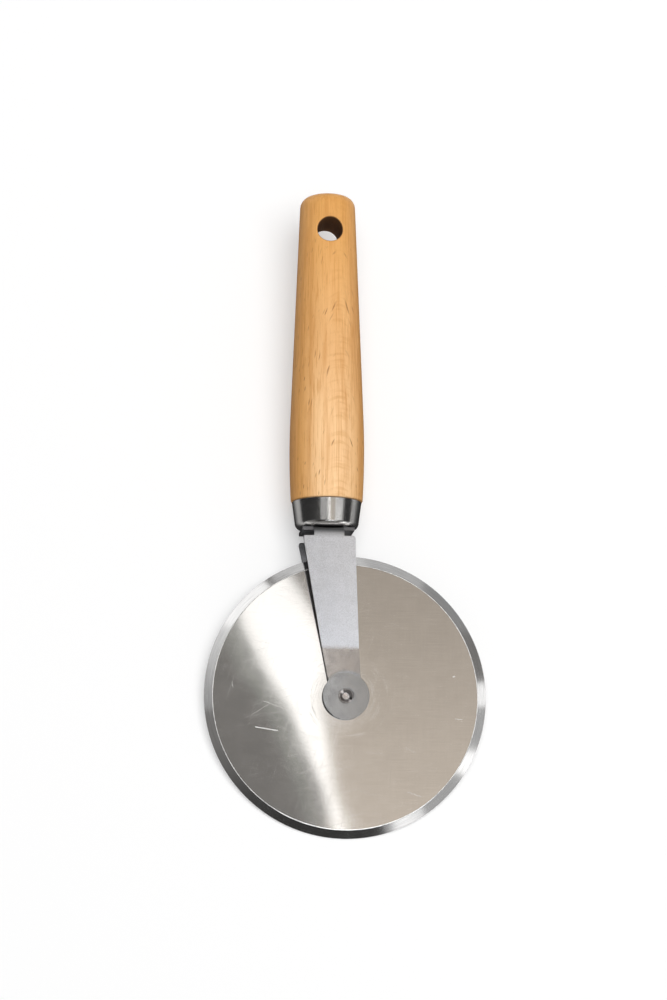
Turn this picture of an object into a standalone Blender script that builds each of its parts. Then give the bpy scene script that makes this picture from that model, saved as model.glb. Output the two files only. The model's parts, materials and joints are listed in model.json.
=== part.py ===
"""A pizza cutter: turned beech handle, drawn steel ferrule, folded steel fork and a free-turning wheel.

All lengths are in metres. The tool is drawn with the handle along +Y and the wheel's front face up. The plane
y = 0 is the closed end of the ferrule, where the fork is screwed on. The whole tool hangs from one empty that
tips it until it lies as it does on a table: on the edge of the handle's neck and on the wheel's far edge.
"""

import math

import bmesh
import bpy
from mathutils import Vector

# Wheel
WHEEL_DIAMETER = 0.1000
WHEEL_THICKNESS = 0.0011
WHEEL_BEVEL_WIDTH = 0.0030
WHEEL_EDGE_THICKNESS = 0.0002

# Handle
HANDLE_LENGTH = 0.1125
HANDLE_BUTT_DIAMETER = 0.0196
HANDLE_BELLY_DIAMETER = 0.0267
HANDLE_NECK_DIAMETER = 0.0256
HANDLE_BELLY_TO_NECK = 0.0185
HANDLE_STRAIGHT_SHARE = 0.87
HANDLE_BUTT_ROUND = 0.0040
HANDLE_NECK_ROUND = 0.0006
HANG_HOLE_DIAMETER = 0.0090
HANG_HOLE_FROM_BUTT = 0.0142
HANG_HOLE_LIP = 0.0006

# Ferrule, a cup drawn from thin sheet
FERRULE_LENGTH = 0.0098
FERRULE_RIM_DIAMETER = 0.0248
FERRULE_END_DIAMETER = 0.0222
FERRULE_CORNER_RADIUS = 0.0017
FERRULE_WALL = 0.0006

# Fork, folded from one strip
FORK_SHEET = 0.0012
FORK_DEPTH = 0.0196
FORK_BEND_RADIUS = 0.0010
FORK_WIDTH = 0.0185
FORK_NECK_WIDTH = 0.0107
FORK_SHOULDER_DROP = 0.0035
FORK_SHOULDER_ROUND = 0.0009
FORK_RELIEF_SETBACK = 0.0004
FORK_ARM_TIP_WIDTH = 0.0108
FORK_KINK_TO_AXLE = 0.0168
FORK_PAD_DIAMETER = 0.0165
FORK_PAD_STEP = 0.0003
FORK_PAD_LAP = 0.0004
FORK_TO_WHEEL_RIM = 0.0095
AXLE_OFFSET = 0.0069

# Axle: rivet, sleeve and washers
RIVET_DIAMETER = 0.0040
RIVET_HEAD_DIAMETER = 0.0076
RIVET_HEAD_HEIGHT = 0.0013
RIVET_FLARE_DIAMETER = 0.0050
RIVET_FLARE_DEPTH = 0.0007
RIVET_DISH_DIAMETER = 0.0042
RIVET_DISH_FLOOR_DIAMETER = 0.0022
RIVET_DISH_DEPTH = 0.0010
BUSH_DIAMETER = 0.0060
WASHER_DIAMETER = 0.0120
WASHER_THICKNESS = 0.0006

# Screw that holds fork, ferrule and handle together
SCREW_DIAMETER = 0.0040
SCREW_LENGTH = 0.0260
SCREW_POINT_LENGTH = 0.0040
SCREW_HEAD_DIAMETER = 0.0076
SCREW_HEAD_HEIGHT = 0.0024
SCREW_HEAD_ROUND = 0.0009

# Clearances
SEAT_GAP = 0.0001
TENON_GAP = 0.00015
RUNNING_GAP = 0.0001
WHEEL_SIDE_PLAY = 0.00015
SCREW_HOLE_GAP = 0.00015
OVERRUN = 0.0020

# Numbers of flat steps that stand in for round shapes
HANDLE_SEGMENTS = 48
WHEEL_SEGMENTS = 96
SMALL_SEGMENTS = 32
ARC_STEPS = 6
TAPER_STEPS = 5
BELLY_STEPS = 6

SMOOTH_ANGLE = math.radians(35)
FLAT_ANGLE = math.radians(0.1)
MERGE_DISTANCE = 1e-7
WELD_DISTANCE = 1e-5

# Places that follow from the sizes above
wheel_radius = WHEEL_DIAMETER / 2
axle_y = -FORK_TO_WHEEL_RIM - wheel_radius
washer_z = WHEEL_THICKNESS / 2 + WHEEL_SIDE_PLAY
pad_inner_z = washer_z + WASHER_THICKNESS + SEAT_GAP
pad_outer_z = pad_inner_z + FORK_SHEET
shoulder_y = FERRULE_LENGTH + SEAT_GAP
butt_y = shoulder_y + HANDLE_LENGTH


def clear_scene():
    """Empty the file of the objects it opened with."""
    for item in list(bpy.data.objects):
        bpy.data.objects.remove(item, do_unlink=True)


def make_material(name, color, metallic, roughness):
    """A plain Principled material with the finish of one piece."""
    material = bpy.data.materials.new(name)
    material.use_nodes = True
    shader = material.node_tree.nodes["Principled BSDF"]
    shader.inputs["Base Color"].default_value = (*color, 1)
    shader.inputs["Metallic"].default_value = metallic
    shader.inputs["Roughness"].default_value = roughness
    material.diffuse_color = (*color, 1)
    return material


def make_object(name, bm, material, parent, location=(0, 0, 0)):
    """Turn a bmesh into a named object, smooth where it is round, and hang it on its parent."""
    bmesh.ops.recalc_face_normals(bm, faces=bm.faces)
    mesh = bpy.data.meshes.new(name)
    bm.to_mesh(mesh)
    bm.free()
    item = bpy.data.objects.new(name, mesh)
    bpy.context.scene.collection.objects.link(item)
    mesh.shade_smooth()
    mesh.set_sharp_from_angle(angle=SMOOTH_ANGLE)
    if material is not None:
        mesh.materials.append(material)
    item.parent = parent
    item.location = location
    return item


def make_empty(name, parent, location, rotation=(0, 0, 0)):
    """A bare frame that other objects hang on."""
    item = bpy.data.objects.new(name, None)
    bpy.context.scene.collection.objects.link(item)
    item.parent = parent
    item.location = location
    item.rotation_euler = rotation
    return item


def make_cutter(name, bm, parent, location=(0, 0, 0)):
    """A helper shape that is only used to cut, join or bound a piece."""
    item = make_object(name, bm, None, parent, location)
    item.hide_render = True
    item.display_type = "WIRE"
    return item


def combine(item, other, operation):
    """Cut, join or bound one object by another."""
    modifier = item.modifiers.new(other.name, "BOOLEAN")
    modifier.operation = operation
    modifier.object = other
    modifier.solver = "EXACT"


def weld(item):
    """Merge the points that the cuts left all but on top of each other."""
    modifier = item.modifiers.new("weld", "WELD")
    modifier.merge_threshold = WELD_DISTANCE


def arc(center, radius, start, end, steps):
    """Points on an arc, as (across, along) pairs, from one angle to another."""
    points = []
    for step in range(steps + 1):
        angle = start + (end - start) * step / steps
        points.append((center[0] + radius * math.cos(angle), center[1] + radius * math.sin(angle)))
    return points


def turned(profile, segments, spin_about_z):
    """Spin a profile of (radius, along) points a full turn about the Z axis or the Y axis.

    A flat end comes out as one face, without a point in its middle."""
    bm = bmesh.new()
    if spin_about_z:
        axis = Vector((0, 0, 1))
        places = [Vector((radius, 0, along)) for radius, along in profile]
    else:
        axis = Vector((0, 1, 0))
        places = [Vector((radius, along, 0)) for radius, along in profile]
    verts = [bm.verts.new(place) for place in places]
    edges = [bm.edges.new(pair) for pair in zip(verts, verts[1:])]
    if profile[0][0] > 0:
        edges.append(bm.edges.new((verts[-1], verts[0])))
    bmesh.ops.spin(
        bm, geom=verts + edges, cent=(0, 0, 0), axis=axis, angle=math.tau, steps=segments, use_merge=True
    )
    bmesh.ops.remove_doubles(bm, verts=bm.verts, dist=MERGE_DISTANCE)
    bm.normal_update()
    for vert in list(bm.verts):
        first = vert.link_faces[0].normal
        if all(face.normal.angle(first) < FLAT_ANGLE for face in vert.link_faces):
            bmesh.ops.dissolve_verts(bm, verts=[vert])
    return bm


def prism(outline, low, high, direction):
    """Raise a flat outline of points into a solid between two levels along a direction."""
    bm = bmesh.new()
    direction = Vector(direction)
    verts = [bm.verts.new(Vector(point) + direction * low) for point in outline]
    face = bm.faces.new(verts)
    raised = bmesh.ops.extrude_face_region(bm, geom=[face])["geom"]
    top = [item for item in raised if isinstance(item, bmesh.types.BMVert)]
    bmesh.ops.translate(bm, verts=top, vec=direction * (high - low))
    return bm


def handle_radius(from_butt):
    """Radius of the handle: a straight taper that rounds off into a belly, then draws in to the neck."""
    butt = HANDLE_BUTT_DIAMETER / 2
    belly = HANDLE_BELLY_DIAMETER / 2
    neck = HANDLE_NECK_DIAMETER / 2
    belly_at = HANDLE_LENGTH - HANDLE_BELLY_TO_NECK
    if from_butt > belly_at:
        share = (from_butt - belly_at) / HANDLE_BELLY_TO_NECK
        return belly - (belly - neck) * share**2
    share = from_butt / belly_at
    slope = 2 / (1 + HANDLE_STRAIGHT_SHARE)
    if share < HANDLE_STRAIGHT_SHARE:
        return butt + (belly - butt) * slope * share
    left = 1 - share
    return belly - (belly - butt) * slope * left**2 / (2 * (1 - HANDLE_STRAIGHT_SHARE))


def handle_outside():
    """The handle's turned outline from the middle of its butt to the edge of its shoulder."""
    round_at = handle_radius(HANDLE_BUTT_ROUND)
    center = (round_at - HANDLE_BUTT_ROUND, butt_y - HANDLE_BUTT_ROUND)
    points = arc(center, HANDLE_BUTT_ROUND, math.pi / 2, 0, ARC_STEPS)
    belly_at = HANDLE_LENGTH - HANDLE_BELLY_TO_NECK
    straight_to = belly_at * HANDLE_STRAIGHT_SHARE
    stops = [
        (HANDLE_BUTT_ROUND, straight_to, TAPER_STEPS),
        (straight_to, belly_at, ARC_STEPS),
        (belly_at, HANDLE_LENGTH - HANDLE_NECK_ROUND, BELLY_STEPS),
    ]
    for start, end, steps in stops:
        for step in range(1, steps + 1):
            from_butt = start + (end - start) * step / steps
            points.append((handle_radius(from_butt), butt_y - from_butt))
    neck_at = handle_radius(HANDLE_LENGTH - HANDLE_NECK_ROUND)
    neck_center = (neck_at - HANDLE_NECK_ROUND, shoulder_y + HANDLE_NECK_ROUND)
    points += arc(neck_center, HANDLE_NECK_ROUND, 0, -math.pi / 2, ARC_STEPS // 2)[1:]
    return points


def cup_side(inset, top):
    """Side and corner of the ferrule, moved in by an inset: outside, inside and tenon all follow it."""
    rise = (FERRULE_RIM_DIAMETER - FERRULE_END_DIAMETER) / 2 / FERRULE_LENGTH
    lean = math.atan(rise)
    end_radius = FERRULE_END_DIAMETER / 2
    top_radius = end_radius + rise * top - inset / math.cos(lean)
    corner = FERRULE_CORNER_RADIUS
    center = (end_radius + rise * corner - corner / math.cos(lean), corner)
    return [(top_radius, top)] + arc(center, corner - inset, -lean, -math.pi / 2, ARC_STEPS)


def make_handle(parent, material):
    """Turned beech with a rounded butt, a tenon for the ferrule, a pilot bore and a countersunk hanging hole."""
    pilot = SCREW_DIAMETER / 2 + RUNNING_GAP
    pilot_end = SCREW_LENGTH - FORK_SHEET - SEAT_GAP + OVERRUN
    tenon = cup_side(FERRULE_WALL + TENON_GAP, shoulder_y)
    profile = [(0, butt_y)] + handle_outside() + tenon
    profile += [(pilot, tenon[-1][1]), (pilot, pilot_end), (0, pilot_end + pilot)]
    handle = make_object("handle", turned(profile, HANDLE_SEGMENTS, False), material, parent)
    reach = HANDLE_BELLY_DIAMETER / 2 + OVERRUN
    hole_radius = HANG_HOLE_DIAMETER / 2
    crown = handle_radius(HANG_HOLE_FROM_BUTT)
    sides = math.sqrt(crown**2 - hole_radius**2)
    mouth = hole_radius + HANG_HOLE_LIP * (reach - sides) / (crown - sides)
    half_profile = [(hole_radius, sides), (mouth, reach), (0, reach)]
    hole_profile = [(radius, -along) for radius, along in half_profile[::-1]] + half_profile
    hole = turned(hole_profile, SMALL_SEGMENTS, True)
    cutter = make_cutter("hang_hole_cutter", hole, parent, (0, butt_y - HANG_HOLE_FROM_BUTT, 0))
    combine(handle, cutter, "DIFFERENCE")
    weld(handle)
    return handle


def make_ferrule(parent, material):
    """A drawn cup with a rounded corner and one screw hole in its closed end."""
    hole = SCREW_DIAMETER / 2 + SCREW_HOLE_GAP
    outside = cup_side(0, FERRULE_LENGTH)
    inside = cup_side(FERRULE_WALL, FERRULE_LENGTH)
    profile = outside + [(hole, 0), (hole, FERRULE_WALL)] + inside[::-1]
    return make_object("ferrule", turned(profile, HANDLE_SEGMENTS, False), material, parent)


def fold_path():
    """Middle of the folded strip seen from the side, as (y, z), from the bridge to the end of the front arm."""
    radius = FORK_BEND_RADIUS + FORK_SHEET / 2
    center_y = -SEAT_GAP - FORK_SHEET - FORK_BEND_RADIUS
    center_z = FORK_DEPTH / 2 - FORK_SHEET - FORK_BEND_RADIUS
    pad_z = pad_inner_z + FORK_SHEET / 2
    kink = (axle_y + FORK_KINK_TO_AXLE, pad_z + FORK_PAD_STEP)
    run = center_y - kink[0]
    rise = center_z - kink[1]
    lean = math.atan2(rise, run) + math.asin(radius / math.hypot(run, rise))
    path = arc((center_y, center_z), radius, 0, math.pi / 2 + lean, ARC_STEPS)
    return path + [kink, (axle_y, kink[1])]


def offset_path(path, distance):
    """Shift an open path sideways by a distance, with mitred corners."""
    shifted = []
    for index, point in enumerate(path):
        before = Vector(path[max(index - 1, 0)])
        after = Vector(path[min(index + 1, len(path) - 1)])
        here = Vector(point)
        into = (here - before).normalized() if index > 0 else (after - here).normalized()
        out = (after - here).normalized() if index < len(path) - 1 else into
        along = (into + out).normalized()
        normal = Vector((-along.y, along.x))
        shifted.append(here + normal * (distance / along.dot(into)))
    return shifted


def rounded_corner(before, corner, after, radius):
    """Points that round one corner of an outline."""
    corner = Vector(corner)
    first = (Vector(before) - corner).normalized()
    second = (Vector(after) - corner).normalized()
    half = first.angle(second) / 2
    center = corner + (first + second).normalized() * (radius / math.sin(half))
    start = corner + first * (radius / math.tan(half)) - center
    end = corner + second * (radius / math.tan(half)) - center
    sweep = start.angle_signed(end)
    points = []
    for step in range(ARC_STEPS + 1):
        angle = -sweep * step / ARC_STEPS
        turn = Vector((
            start.x * math.cos(angle) - start.y * math.sin(angle),
            start.x * math.sin(angle) + start.y * math.cos(angle),
        ))
        points.append(center + turn)
    return points


def where_edge_meets_pad(start, end, center, radius):
    """Where a straight arm edge, walked from its shoulder, first meets the round pad."""
    along = (end - start).normalized()
    to_center = center - start
    nearest = to_center.dot(along)
    off = (to_center - along * nearest).length
    return start + along * (nearest - math.sqrt(radius**2 - off**2))


def arm_outline():
    """The arm seen from the front: a neck, square shoulders and a leaning taper that ends on its pad."""
    top = -FORK_SHOULDER_DROP
    pad = Vector((AXLE_OFFSET, axle_y))
    end_radius = FORK_PAD_DIAMETER / 2 - FORK_PAD_LAP
    left = Vector((-FORK_WIDTH / 2, top))
    right = Vector((FORK_WIDTH / 2, top))
    left_tip = pad - Vector((FORK_ARM_TIP_WIDTH / 2, 0))
    right_tip = pad + Vector((FORK_ARM_TIP_WIDTH / 2, 0))
    left_end = where_edge_meets_pad(left, left_tip, pad, end_radius)
    right_end = where_edge_meets_pad(right, right_tip, pad, end_radius)
    start = math.atan2(left_end.y - pad.y, left_end.x - pad.x)
    end = math.atan2(right_end.y - pad.y, right_end.x - pad.x)
    outline = rounded_corner(right, left, left_end, FORK_SHOULDER_ROUND)
    outline += [Vector(point) for point in arc(pad, end_radius, start, end, ARC_STEPS)]
    outline += rounded_corner(right_end, right, left, FORK_SHOULDER_ROUND)
    neck = FORK_NECK_WIDTH / 2
    neck_outline = [(neck, top), (neck, 2 * OVERRUN), (-neck, 2 * OVERRUN), (-neck, top)]
    return outline + [Vector(point) for point in neck_outline]


def make_fork(parent, material):
    """One strip folded into a U: a bridge, two relieved bends and two leaning arms with pressed round pads."""
    half = fold_path()
    path = [(y, -z) for y, z in reversed(half)] + half
    outer = offset_path(path, FORK_SHEET / 2)
    inner = offset_path(path, -FORK_SHEET / 2)
    section = [(0, point.x, point.y) for point in outer + inner[::-1]]
    span = AXLE_OFFSET + FORK_WIDTH
    fork = make_object("fork", prism(section, -span, span, (1, 0, 0)), material, parent)

    level = FORK_DEPTH / 2 + OVERRUN
    arms = prism([(*point, 0) for point in arm_outline()], -level, level, (0, 0, 1))
    arms_shape = make_cutter("arms_outline", arms, parent)
    bridge = FORK_WIDTH / 2
    bridge_low = -SEAT_GAP - FORK_SHEET - FORK_BEND_RADIUS / 2
    bridge_level = FORK_DEPTH / 2 - FORK_SHEET - FORK_BEND_RADIUS - FORK_RELIEF_SETBACK
    bridge_outline = [
        (-bridge, bridge_low, 0),
        (bridge, bridge_low, 0),
        (bridge, OVERRUN, 0),
        (-bridge, OVERRUN, 0),
    ]
    bridge_shape = make_cutter(
        "bridge_outline", prism(bridge_outline, -bridge_level, bridge_level, (0, 0, 1)), parent
    )
    combine(arms_shape, bridge_shape, "UNION")
    combine(fork, arms_shape, "INTERSECT")

    pad_radius = FORK_PAD_DIAMETER / 2
    for side, low in (("front", pad_inner_z), ("rear", -pad_outer_z)):
        high = low + FORK_SHEET
        profile = [(0, low), (pad_radius, low), (pad_radius, high), (0, high)]
        disc = turned(profile, HANDLE_SEGMENTS, True)
        combine(fork, make_cutter(side + "_pad", disc, parent, (AXLE_OFFSET, axle_y, 0)), "UNION")

    shank = RIVET_DIAMETER / 2 + RUNNING_GAP
    flare = RIVET_FLARE_DIAMETER / 2 + RUNNING_GAP
    widening = (flare - shank) / RIVET_FLARE_DEPTH
    sink = pad_outer_z - RIVET_FLARE_DEPTH
    rivet_hole = [
        (0, -pad_outer_z - OVERRUN),
        (shank, -pad_outer_z - OVERRUN),
        (shank, sink),
        (flare + widening * OVERRUN, pad_outer_z + OVERRUN),
        (0, pad_outer_z + OVERRUN),
    ]
    rivet_cutter = make_cutter(
        "rivet_hole_cutter", turned(rivet_hole, SMALL_SEGMENTS, True), parent, (AXLE_OFFSET, axle_y, 0)
    )
    combine(fork, rivet_cutter, "DIFFERENCE")
    screw = SCREW_DIAMETER / 2 + SCREW_HOLE_GAP
    reach = FORK_SHEET + OVERRUN
    screw_hole = [(0, -reach), (screw, -reach), (screw, OVERRUN), (0, OVERRUN)]
    screw_cutter = make_cutter("screw_hole_cutter", turned(screw_hole, SMALL_SEGMENTS, False), parent)
    combine(fork, screw_cutter, "DIFFERENCE")
    weld(fork)
    return fork


def wheel_side():
    """The wheel's front face at the start of the ground bevel, and its edge, as (radius, level)."""
    return [(wheel_radius - WHEEL_BEVEL_WIDTH, WHEEL_THICKNESS / 2), (wheel_radius, WHEEL_EDGE_THICKNESS / 2)]


def make_wheel(parent, material):
    """A flat disc ground to an edge from both sides, bored to turn on the sleeve."""
    front = [(BUSH_DIAMETER / 2 + RUNNING_GAP, WHEEL_THICKNESS / 2)] + wheel_side()
    profile = [(radius, -level) for radius, level in front] + front[::-1]
    return make_object("cutting_wheel", turned(profile, WHEEL_SEGMENTS, True), material, parent)


def make_rivet(parent, material, location):
    """Domed head behind, and in front a dished end flared into the pad's countersink."""
    shank = RIVET_DIAMETER / 2
    head = RIVET_HEAD_DIAMETER / 2
    seat = -pad_outer_z - SEAT_GAP
    dome_radius = (head**2 + RIVET_HEAD_HEIGHT**2) / (2 * RIVET_HEAD_HEIGHT)
    dome_angle = math.asin(head / dome_radius)
    dome_center = (0, seat - RIVET_HEAD_HEIGHT + dome_radius)
    dome = arc(dome_center, dome_radius, -math.pi / 2, -math.pi / 2 + dome_angle, ARC_STEPS)
    profile = [(0, dome[0][1])] + dome[1:]
    profile += [
        (shank, seat),
        (shank, pad_outer_z - RIVET_FLARE_DEPTH),
        (RIVET_FLARE_DIAMETER / 2, pad_outer_z),
        (RIVET_DISH_DIAMETER / 2, pad_outer_z),
        (RIVET_DISH_FLOOR_DIAMETER / 2, pad_outer_z - RIVET_DISH_DEPTH),
        (0, pad_outer_z - RIVET_DISH_DEPTH),
    ]
    return make_object("axle_rivet", turned(profile, SMALL_SEGMENTS, True), material, parent, location)


def make_ring(name, parent, material, location, sizes):
    """A plain ring about the axle, given its outer and inner diameters and its two levels."""
    outer, inner, low, high = sizes
    profile = [(inner / 2, low), (outer / 2, low), (outer / 2, high), (inner / 2, high)]
    return make_object(name, turned(profile, SMALL_SEGMENTS, True), material, parent, location)


def make_screw(parent, material):
    """A pan-head wood screw up through the bridge and the ferrule into the handle."""
    shank = SCREW_DIAMETER / 2
    head = SCREW_HEAD_DIAMETER / 2
    seat = -SEAT_GAP - FORK_SHEET - SEAT_GAP
    low = seat - SCREW_HEAD_HEIGHT
    tip = seat + SCREW_LENGTH
    corner = (head - SCREW_HEAD_ROUND, low + SCREW_HEAD_ROUND)
    profile = [(0, low)] + arc(corner, SCREW_HEAD_ROUND, -math.pi / 2, 0, ARC_STEPS)
    profile += [(head, seat), (shank, seat), (shank, tip - SCREW_POINT_LENGTH), (0, tip)]
    return make_object("tang_screw", turned(profile, SMALL_SEGMENTS, False), material, parent)


def resting_place():
    """How far the lying tool is tipped, and where its frame goes so that its middle is over the origin."""
    wheel = [(level, axle_y - radius) for radius, level in wheel_side()]
    outside = handle_outside() + cup_side(0, FERRULE_LENGTH)
    tilt = math.pi
    for level, far in wheel:
        tilt = min(tilt, max(math.atan2(radius - level, y - far) for radius, y in outside))
    back = max(y * math.cos(tilt) + radius * math.sin(tilt) for radius, y in outside)
    front = min(far * math.cos(tilt) - level * math.sin(tilt) for level, far in wheel)
    height = max(level * math.cos(tilt) - far * math.sin(tilt) for level, far in wheel)
    return tilt, (-AXLE_OFFSET, -(back + front) / 2, height)


def main():
    clear_scene()
    beech = make_material("beech", (0.62, 0.34, 0.14), 0, 0.5)
    bright_steel = make_material("polished_steel", (0.66, 0.65, 0.63), 1, 0.12)
    satin_steel = make_material("satin_steel", (0.62, 0.62, 0.62), 1, 0.35)
    brushed_steel = make_material("brushed_steel", (0.60, 0.58, 0.55), 1, 0.28)
    dark_steel = make_material("plain_steel", (0.45, 0.44, 0.43), 1, 0.4)

    tilt, place = resting_place()
    tool = make_empty("tool", None, place, (tilt, 0, 0))
    axle = (AXLE_OFFSET, axle_y, 0)
    make_handle(tool, beech)
    make_ferrule(tool, bright_steel)
    make_fork(tool, satin_steel)
    make_screw(tool, dark_steel)
    make_rivet(tool, dark_steel, axle)
    bush_half = pad_inner_z - SEAT_GAP
    rivet_bore = RIVET_DIAMETER + 2 * RUNNING_GAP
    make_ring("axle_bush", tool, dark_steel, axle, (BUSH_DIAMETER, rivet_bore, -bush_half, bush_half))
    washer_bore = BUSH_DIAMETER + 2 * RUNNING_GAP
    front = (WASHER_DIAMETER, washer_bore, washer_z, washer_z + WASHER_THICKNESS)
    rear = (WASHER_DIAMETER, washer_bore, -washer_z - WASHER_THICKNESS, -washer_z)
    make_ring("front_washer", tool, dark_steel, axle, front)
    make_ring("rear_washer", tool, dark_steel, axle, rear)
    wheel_axis = make_empty("wheel_axis", tool, axle)
    make_wheel(wheel_axis, brushed_steel)


main()
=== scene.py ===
# %% [markdown]
# This lesson dresses a pizza cutter: a turned beech handle, a drawn steel ferrule, a fork folded from one
# strip of steel, and a ground wheel that turns on a rivet. The solids already exist at their real size.
# Here each one gets a finer surface in the same place, and the finish of its own material.
# %% Load the solids
import json
import math

import bmesh
import bpy
from mathutils import Matrix, Vector


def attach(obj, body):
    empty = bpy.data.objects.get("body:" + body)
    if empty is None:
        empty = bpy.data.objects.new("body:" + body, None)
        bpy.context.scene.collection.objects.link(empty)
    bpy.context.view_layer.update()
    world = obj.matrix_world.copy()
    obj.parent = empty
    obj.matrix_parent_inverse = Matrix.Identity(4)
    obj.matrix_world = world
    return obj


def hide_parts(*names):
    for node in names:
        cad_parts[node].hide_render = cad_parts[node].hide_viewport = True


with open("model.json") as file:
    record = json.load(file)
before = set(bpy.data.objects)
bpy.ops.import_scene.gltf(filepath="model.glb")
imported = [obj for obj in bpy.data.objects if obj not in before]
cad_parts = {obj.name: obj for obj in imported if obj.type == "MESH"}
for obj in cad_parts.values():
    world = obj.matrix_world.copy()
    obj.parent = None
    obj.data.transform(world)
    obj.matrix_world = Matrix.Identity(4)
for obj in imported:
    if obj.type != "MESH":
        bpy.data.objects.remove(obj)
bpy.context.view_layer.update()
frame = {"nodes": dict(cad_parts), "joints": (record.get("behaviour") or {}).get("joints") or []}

# %% [markdown]
# The tool lies tipped on a table, on the handle's neck and the wheel. It is easier to draw it level, with
# the handle along Y and the wheel's front face up, and to tip each finished mesh. The wheel's joint gives
# the tip, and the ferrule's closed end gives the drawing's origin.
# %% The tool's own frame
joint = frame["joints"][0]
axle = Vector(joint["pos_m"])
face_way = Vector(joint["axis"])
along_way = Vector((0, face_way.z, -face_way.y))


def reach(node, way):
    """The lowest and highest reach of a solid along a direction."""
    reaches = [vert.co.dot(way) for vert in frame["nodes"][node].data.vertices]
    return min(reaches), max(reaches)


handle_middle = sum(reach("handle", Vector((1, 0, 0)))) / 2
seat_along = reach("ferrule", along_way)[0]
origin = Vector((handle_middle, 0, 0)) + along_way * seat_along + face_way * axle.dot(face_way)
tip = math.atan2(-face_way.y, face_way.z)
tool = Matrix.Translation(origin) @ Matrix.Rotation(tip, 4, "X")
axle_x = axle.x - handle_middle
axle_y = axle.dot(along_way) - seat_along
axle_spot = (axle_x, axle_y, 0)
print("tipped", round(math.degrees(tip), 2), "degrees")
print("axle at", round(axle_x * 1000, 2), round(axle_y * 1000, 2), "mm")


def level(node, way):
    """The reach of a solid in the tool's own frame, along its X, Y or Z."""
    axis = Vector([int(way == name) for name in "XYZ"])
    reaches = [(tool.inverted() @ vert.co).dot(axis) for vert in frame["nodes"][node].data.vertices]
    return min(reaches), max(reaches)


# %% [markdown]
# Almost every piece is turned, so one helper serves most of them. It rounds chosen corners of an outline
# of (radius, height) points and spins it, which is cleaner than beveling the finished solid.
# %% A lathe for outlines
MERGE_DISTANCE = 1e-6
CORNER_SEGMENTS = 6


def turned(corners, rounds, steps, axis):
    """Spin an outline a full turn about Y or Z; rounds gives the corners that have a radius."""
    bm = bmesh.new()
    spots = [(r, h, 0) if axis == "Y" else (r, 0, h) for r, h in corners]
    verts = [bm.verts.new(spot) for spot in spots]
    for pair in zip(verts, verts[1:]):
        bm.edges.new(pair)
    if corners[0][0] > 0:
        bm.edges.new((verts[-1], verts[0]))
    for index, size in rounds.items():
        bmesh.ops.bevel(
            bm, geom=[verts[index]], offset=size, offset_type="OFFSET", segments=CORNER_SEGMENTS,
            profile=0.5, affect="VERTICES", material=-1,
        )
    about = (0, 1, 0) if axis == "Y" else (0, 0, 1)
    geom = bm.verts[:] + bm.edges[:]
    bmesh.ops.spin(bm, geom=geom, cent=(0, 0, 0), axis=about, angle=math.tau, steps=steps, use_merge=True)
    bmesh.ops.remove_doubles(bm, verts=bm.verts, dist=MERGE_DISTANCE)
    bmesh.ops.recalc_face_normals(bm, faces=bm.faces)
    return bm


# %% [markdown]
# A finished shape is tipped into place, shaded smooth up to its sharp edges, and tied to the body that it
# moves with. Weighted normals keep flat faces truly flat beside rounded edges, because polished metal
# shows the smallest lean of a normal.
# %% Finishing a piece
SHARP_ANGLE = math.radians(35)


def placed(name, data):
    """Put a mesh, a lamp or a camera into the scene as an object."""
    item = bpy.data.objects.new(name, data)
    bpy.context.scene.collection.objects.link(item)
    return item


def as_object(name, bm, *materials):
    """Turn a shape into an object of the scene, with its materials."""
    mesh = bpy.data.meshes.new(name)
    bm.to_mesh(mesh)
    bm.free()
    for material in materials:
        mesh.materials.append(material)
    return placed(name, mesh)


def even_normals(piece):
    """Keep flat faces flat beside rounded edges."""
    even = piece.modifiers.new("even_normals", "WEIGHTED_NORMAL")
    even.keep_sharp = True


def finish_piece(name, bm, materials, body, solid):
    """Tip a drawn shape into place as a named piece, and let it stand for its solid."""
    bmesh.ops.transform(bm, matrix=tool, verts=bm.verts)
    piece = as_object(name, bm, *materials)
    piece.data.shade_smooth()
    piece.data.set_sharp_from_angle(angle=SHARP_ANGLE)
    even_normals(piece)
    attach(piece, body)
    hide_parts(solid)
    print(name, "has", len(piece.data.polygons), "faces")
    return piece


# %% [markdown]
# Every finish is a small network of shader nodes. By hand, each node is added, set and linked in the node
# editor. Here one helper adds a node and feeds its inputs with plain values or other nodes' outputs, so
# that a finish reads from top to bottom.
# %% Add nodes and wire them
def new_finish(name):
    """A material and its node tree, ready to be wired."""
    material = bpy.data.materials.new(name)
    material.use_nodes = True
    return material, material.node_tree


def feed(socket, value):
    """Give a socket a value, or link it to the output that makes one."""
    if isinstance(value, bpy.types.NodeSocket):
        socket.id_data.links.new(value, socket)
    else:
        socket.default_value = value


def wired(material, inputs):
    """Feed the material's shader, and hand the material back."""
    shader = material.node_tree.nodes["Principled BSDF"]
    for name, value in inputs.items():
        feed(shader.inputs[name], value)
    print(material.name, "has", len(material.node_tree.nodes), "nodes")
    return material


def add(tree, kind, inputs=(), **options):
    """Add one node, with its options set and its inputs fed."""
    node = tree.nodes.new("ShaderNode" + kind)
    for name, value in options.items():
        setattr(node, name, value)
    for name, value in dict(inputs).items():
        feed(node.inputs[name], value)
    return node


# %% [markdown]
# Most of a finish is arithmetic. Patterns are added, stretched to another range, and used as the share by
# which one colour covers another. An output knows its own tree, so these helpers take only the values.
# %% Sums, ranges and mixes
def maths(operation, first, *others, clamp=False):
    """Arithmetic between values or outputs, taken one after the other."""
    tree = next(value.id_data for value in (first, *others) if isinstance(value, bpy.types.NodeSocket))
    for other in others or (0.0,):
        first = add(tree, "Math", {0: first, 1: other}, operation=operation, use_clamp=clamp).outputs[0]
    return first


def times(*values):
    """Values or outputs multiplied."""
    return maths("MULTIPLY", *values)


def plus(*values):
    """Values or outputs added up."""
    return maths("ADD", *values)


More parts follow.
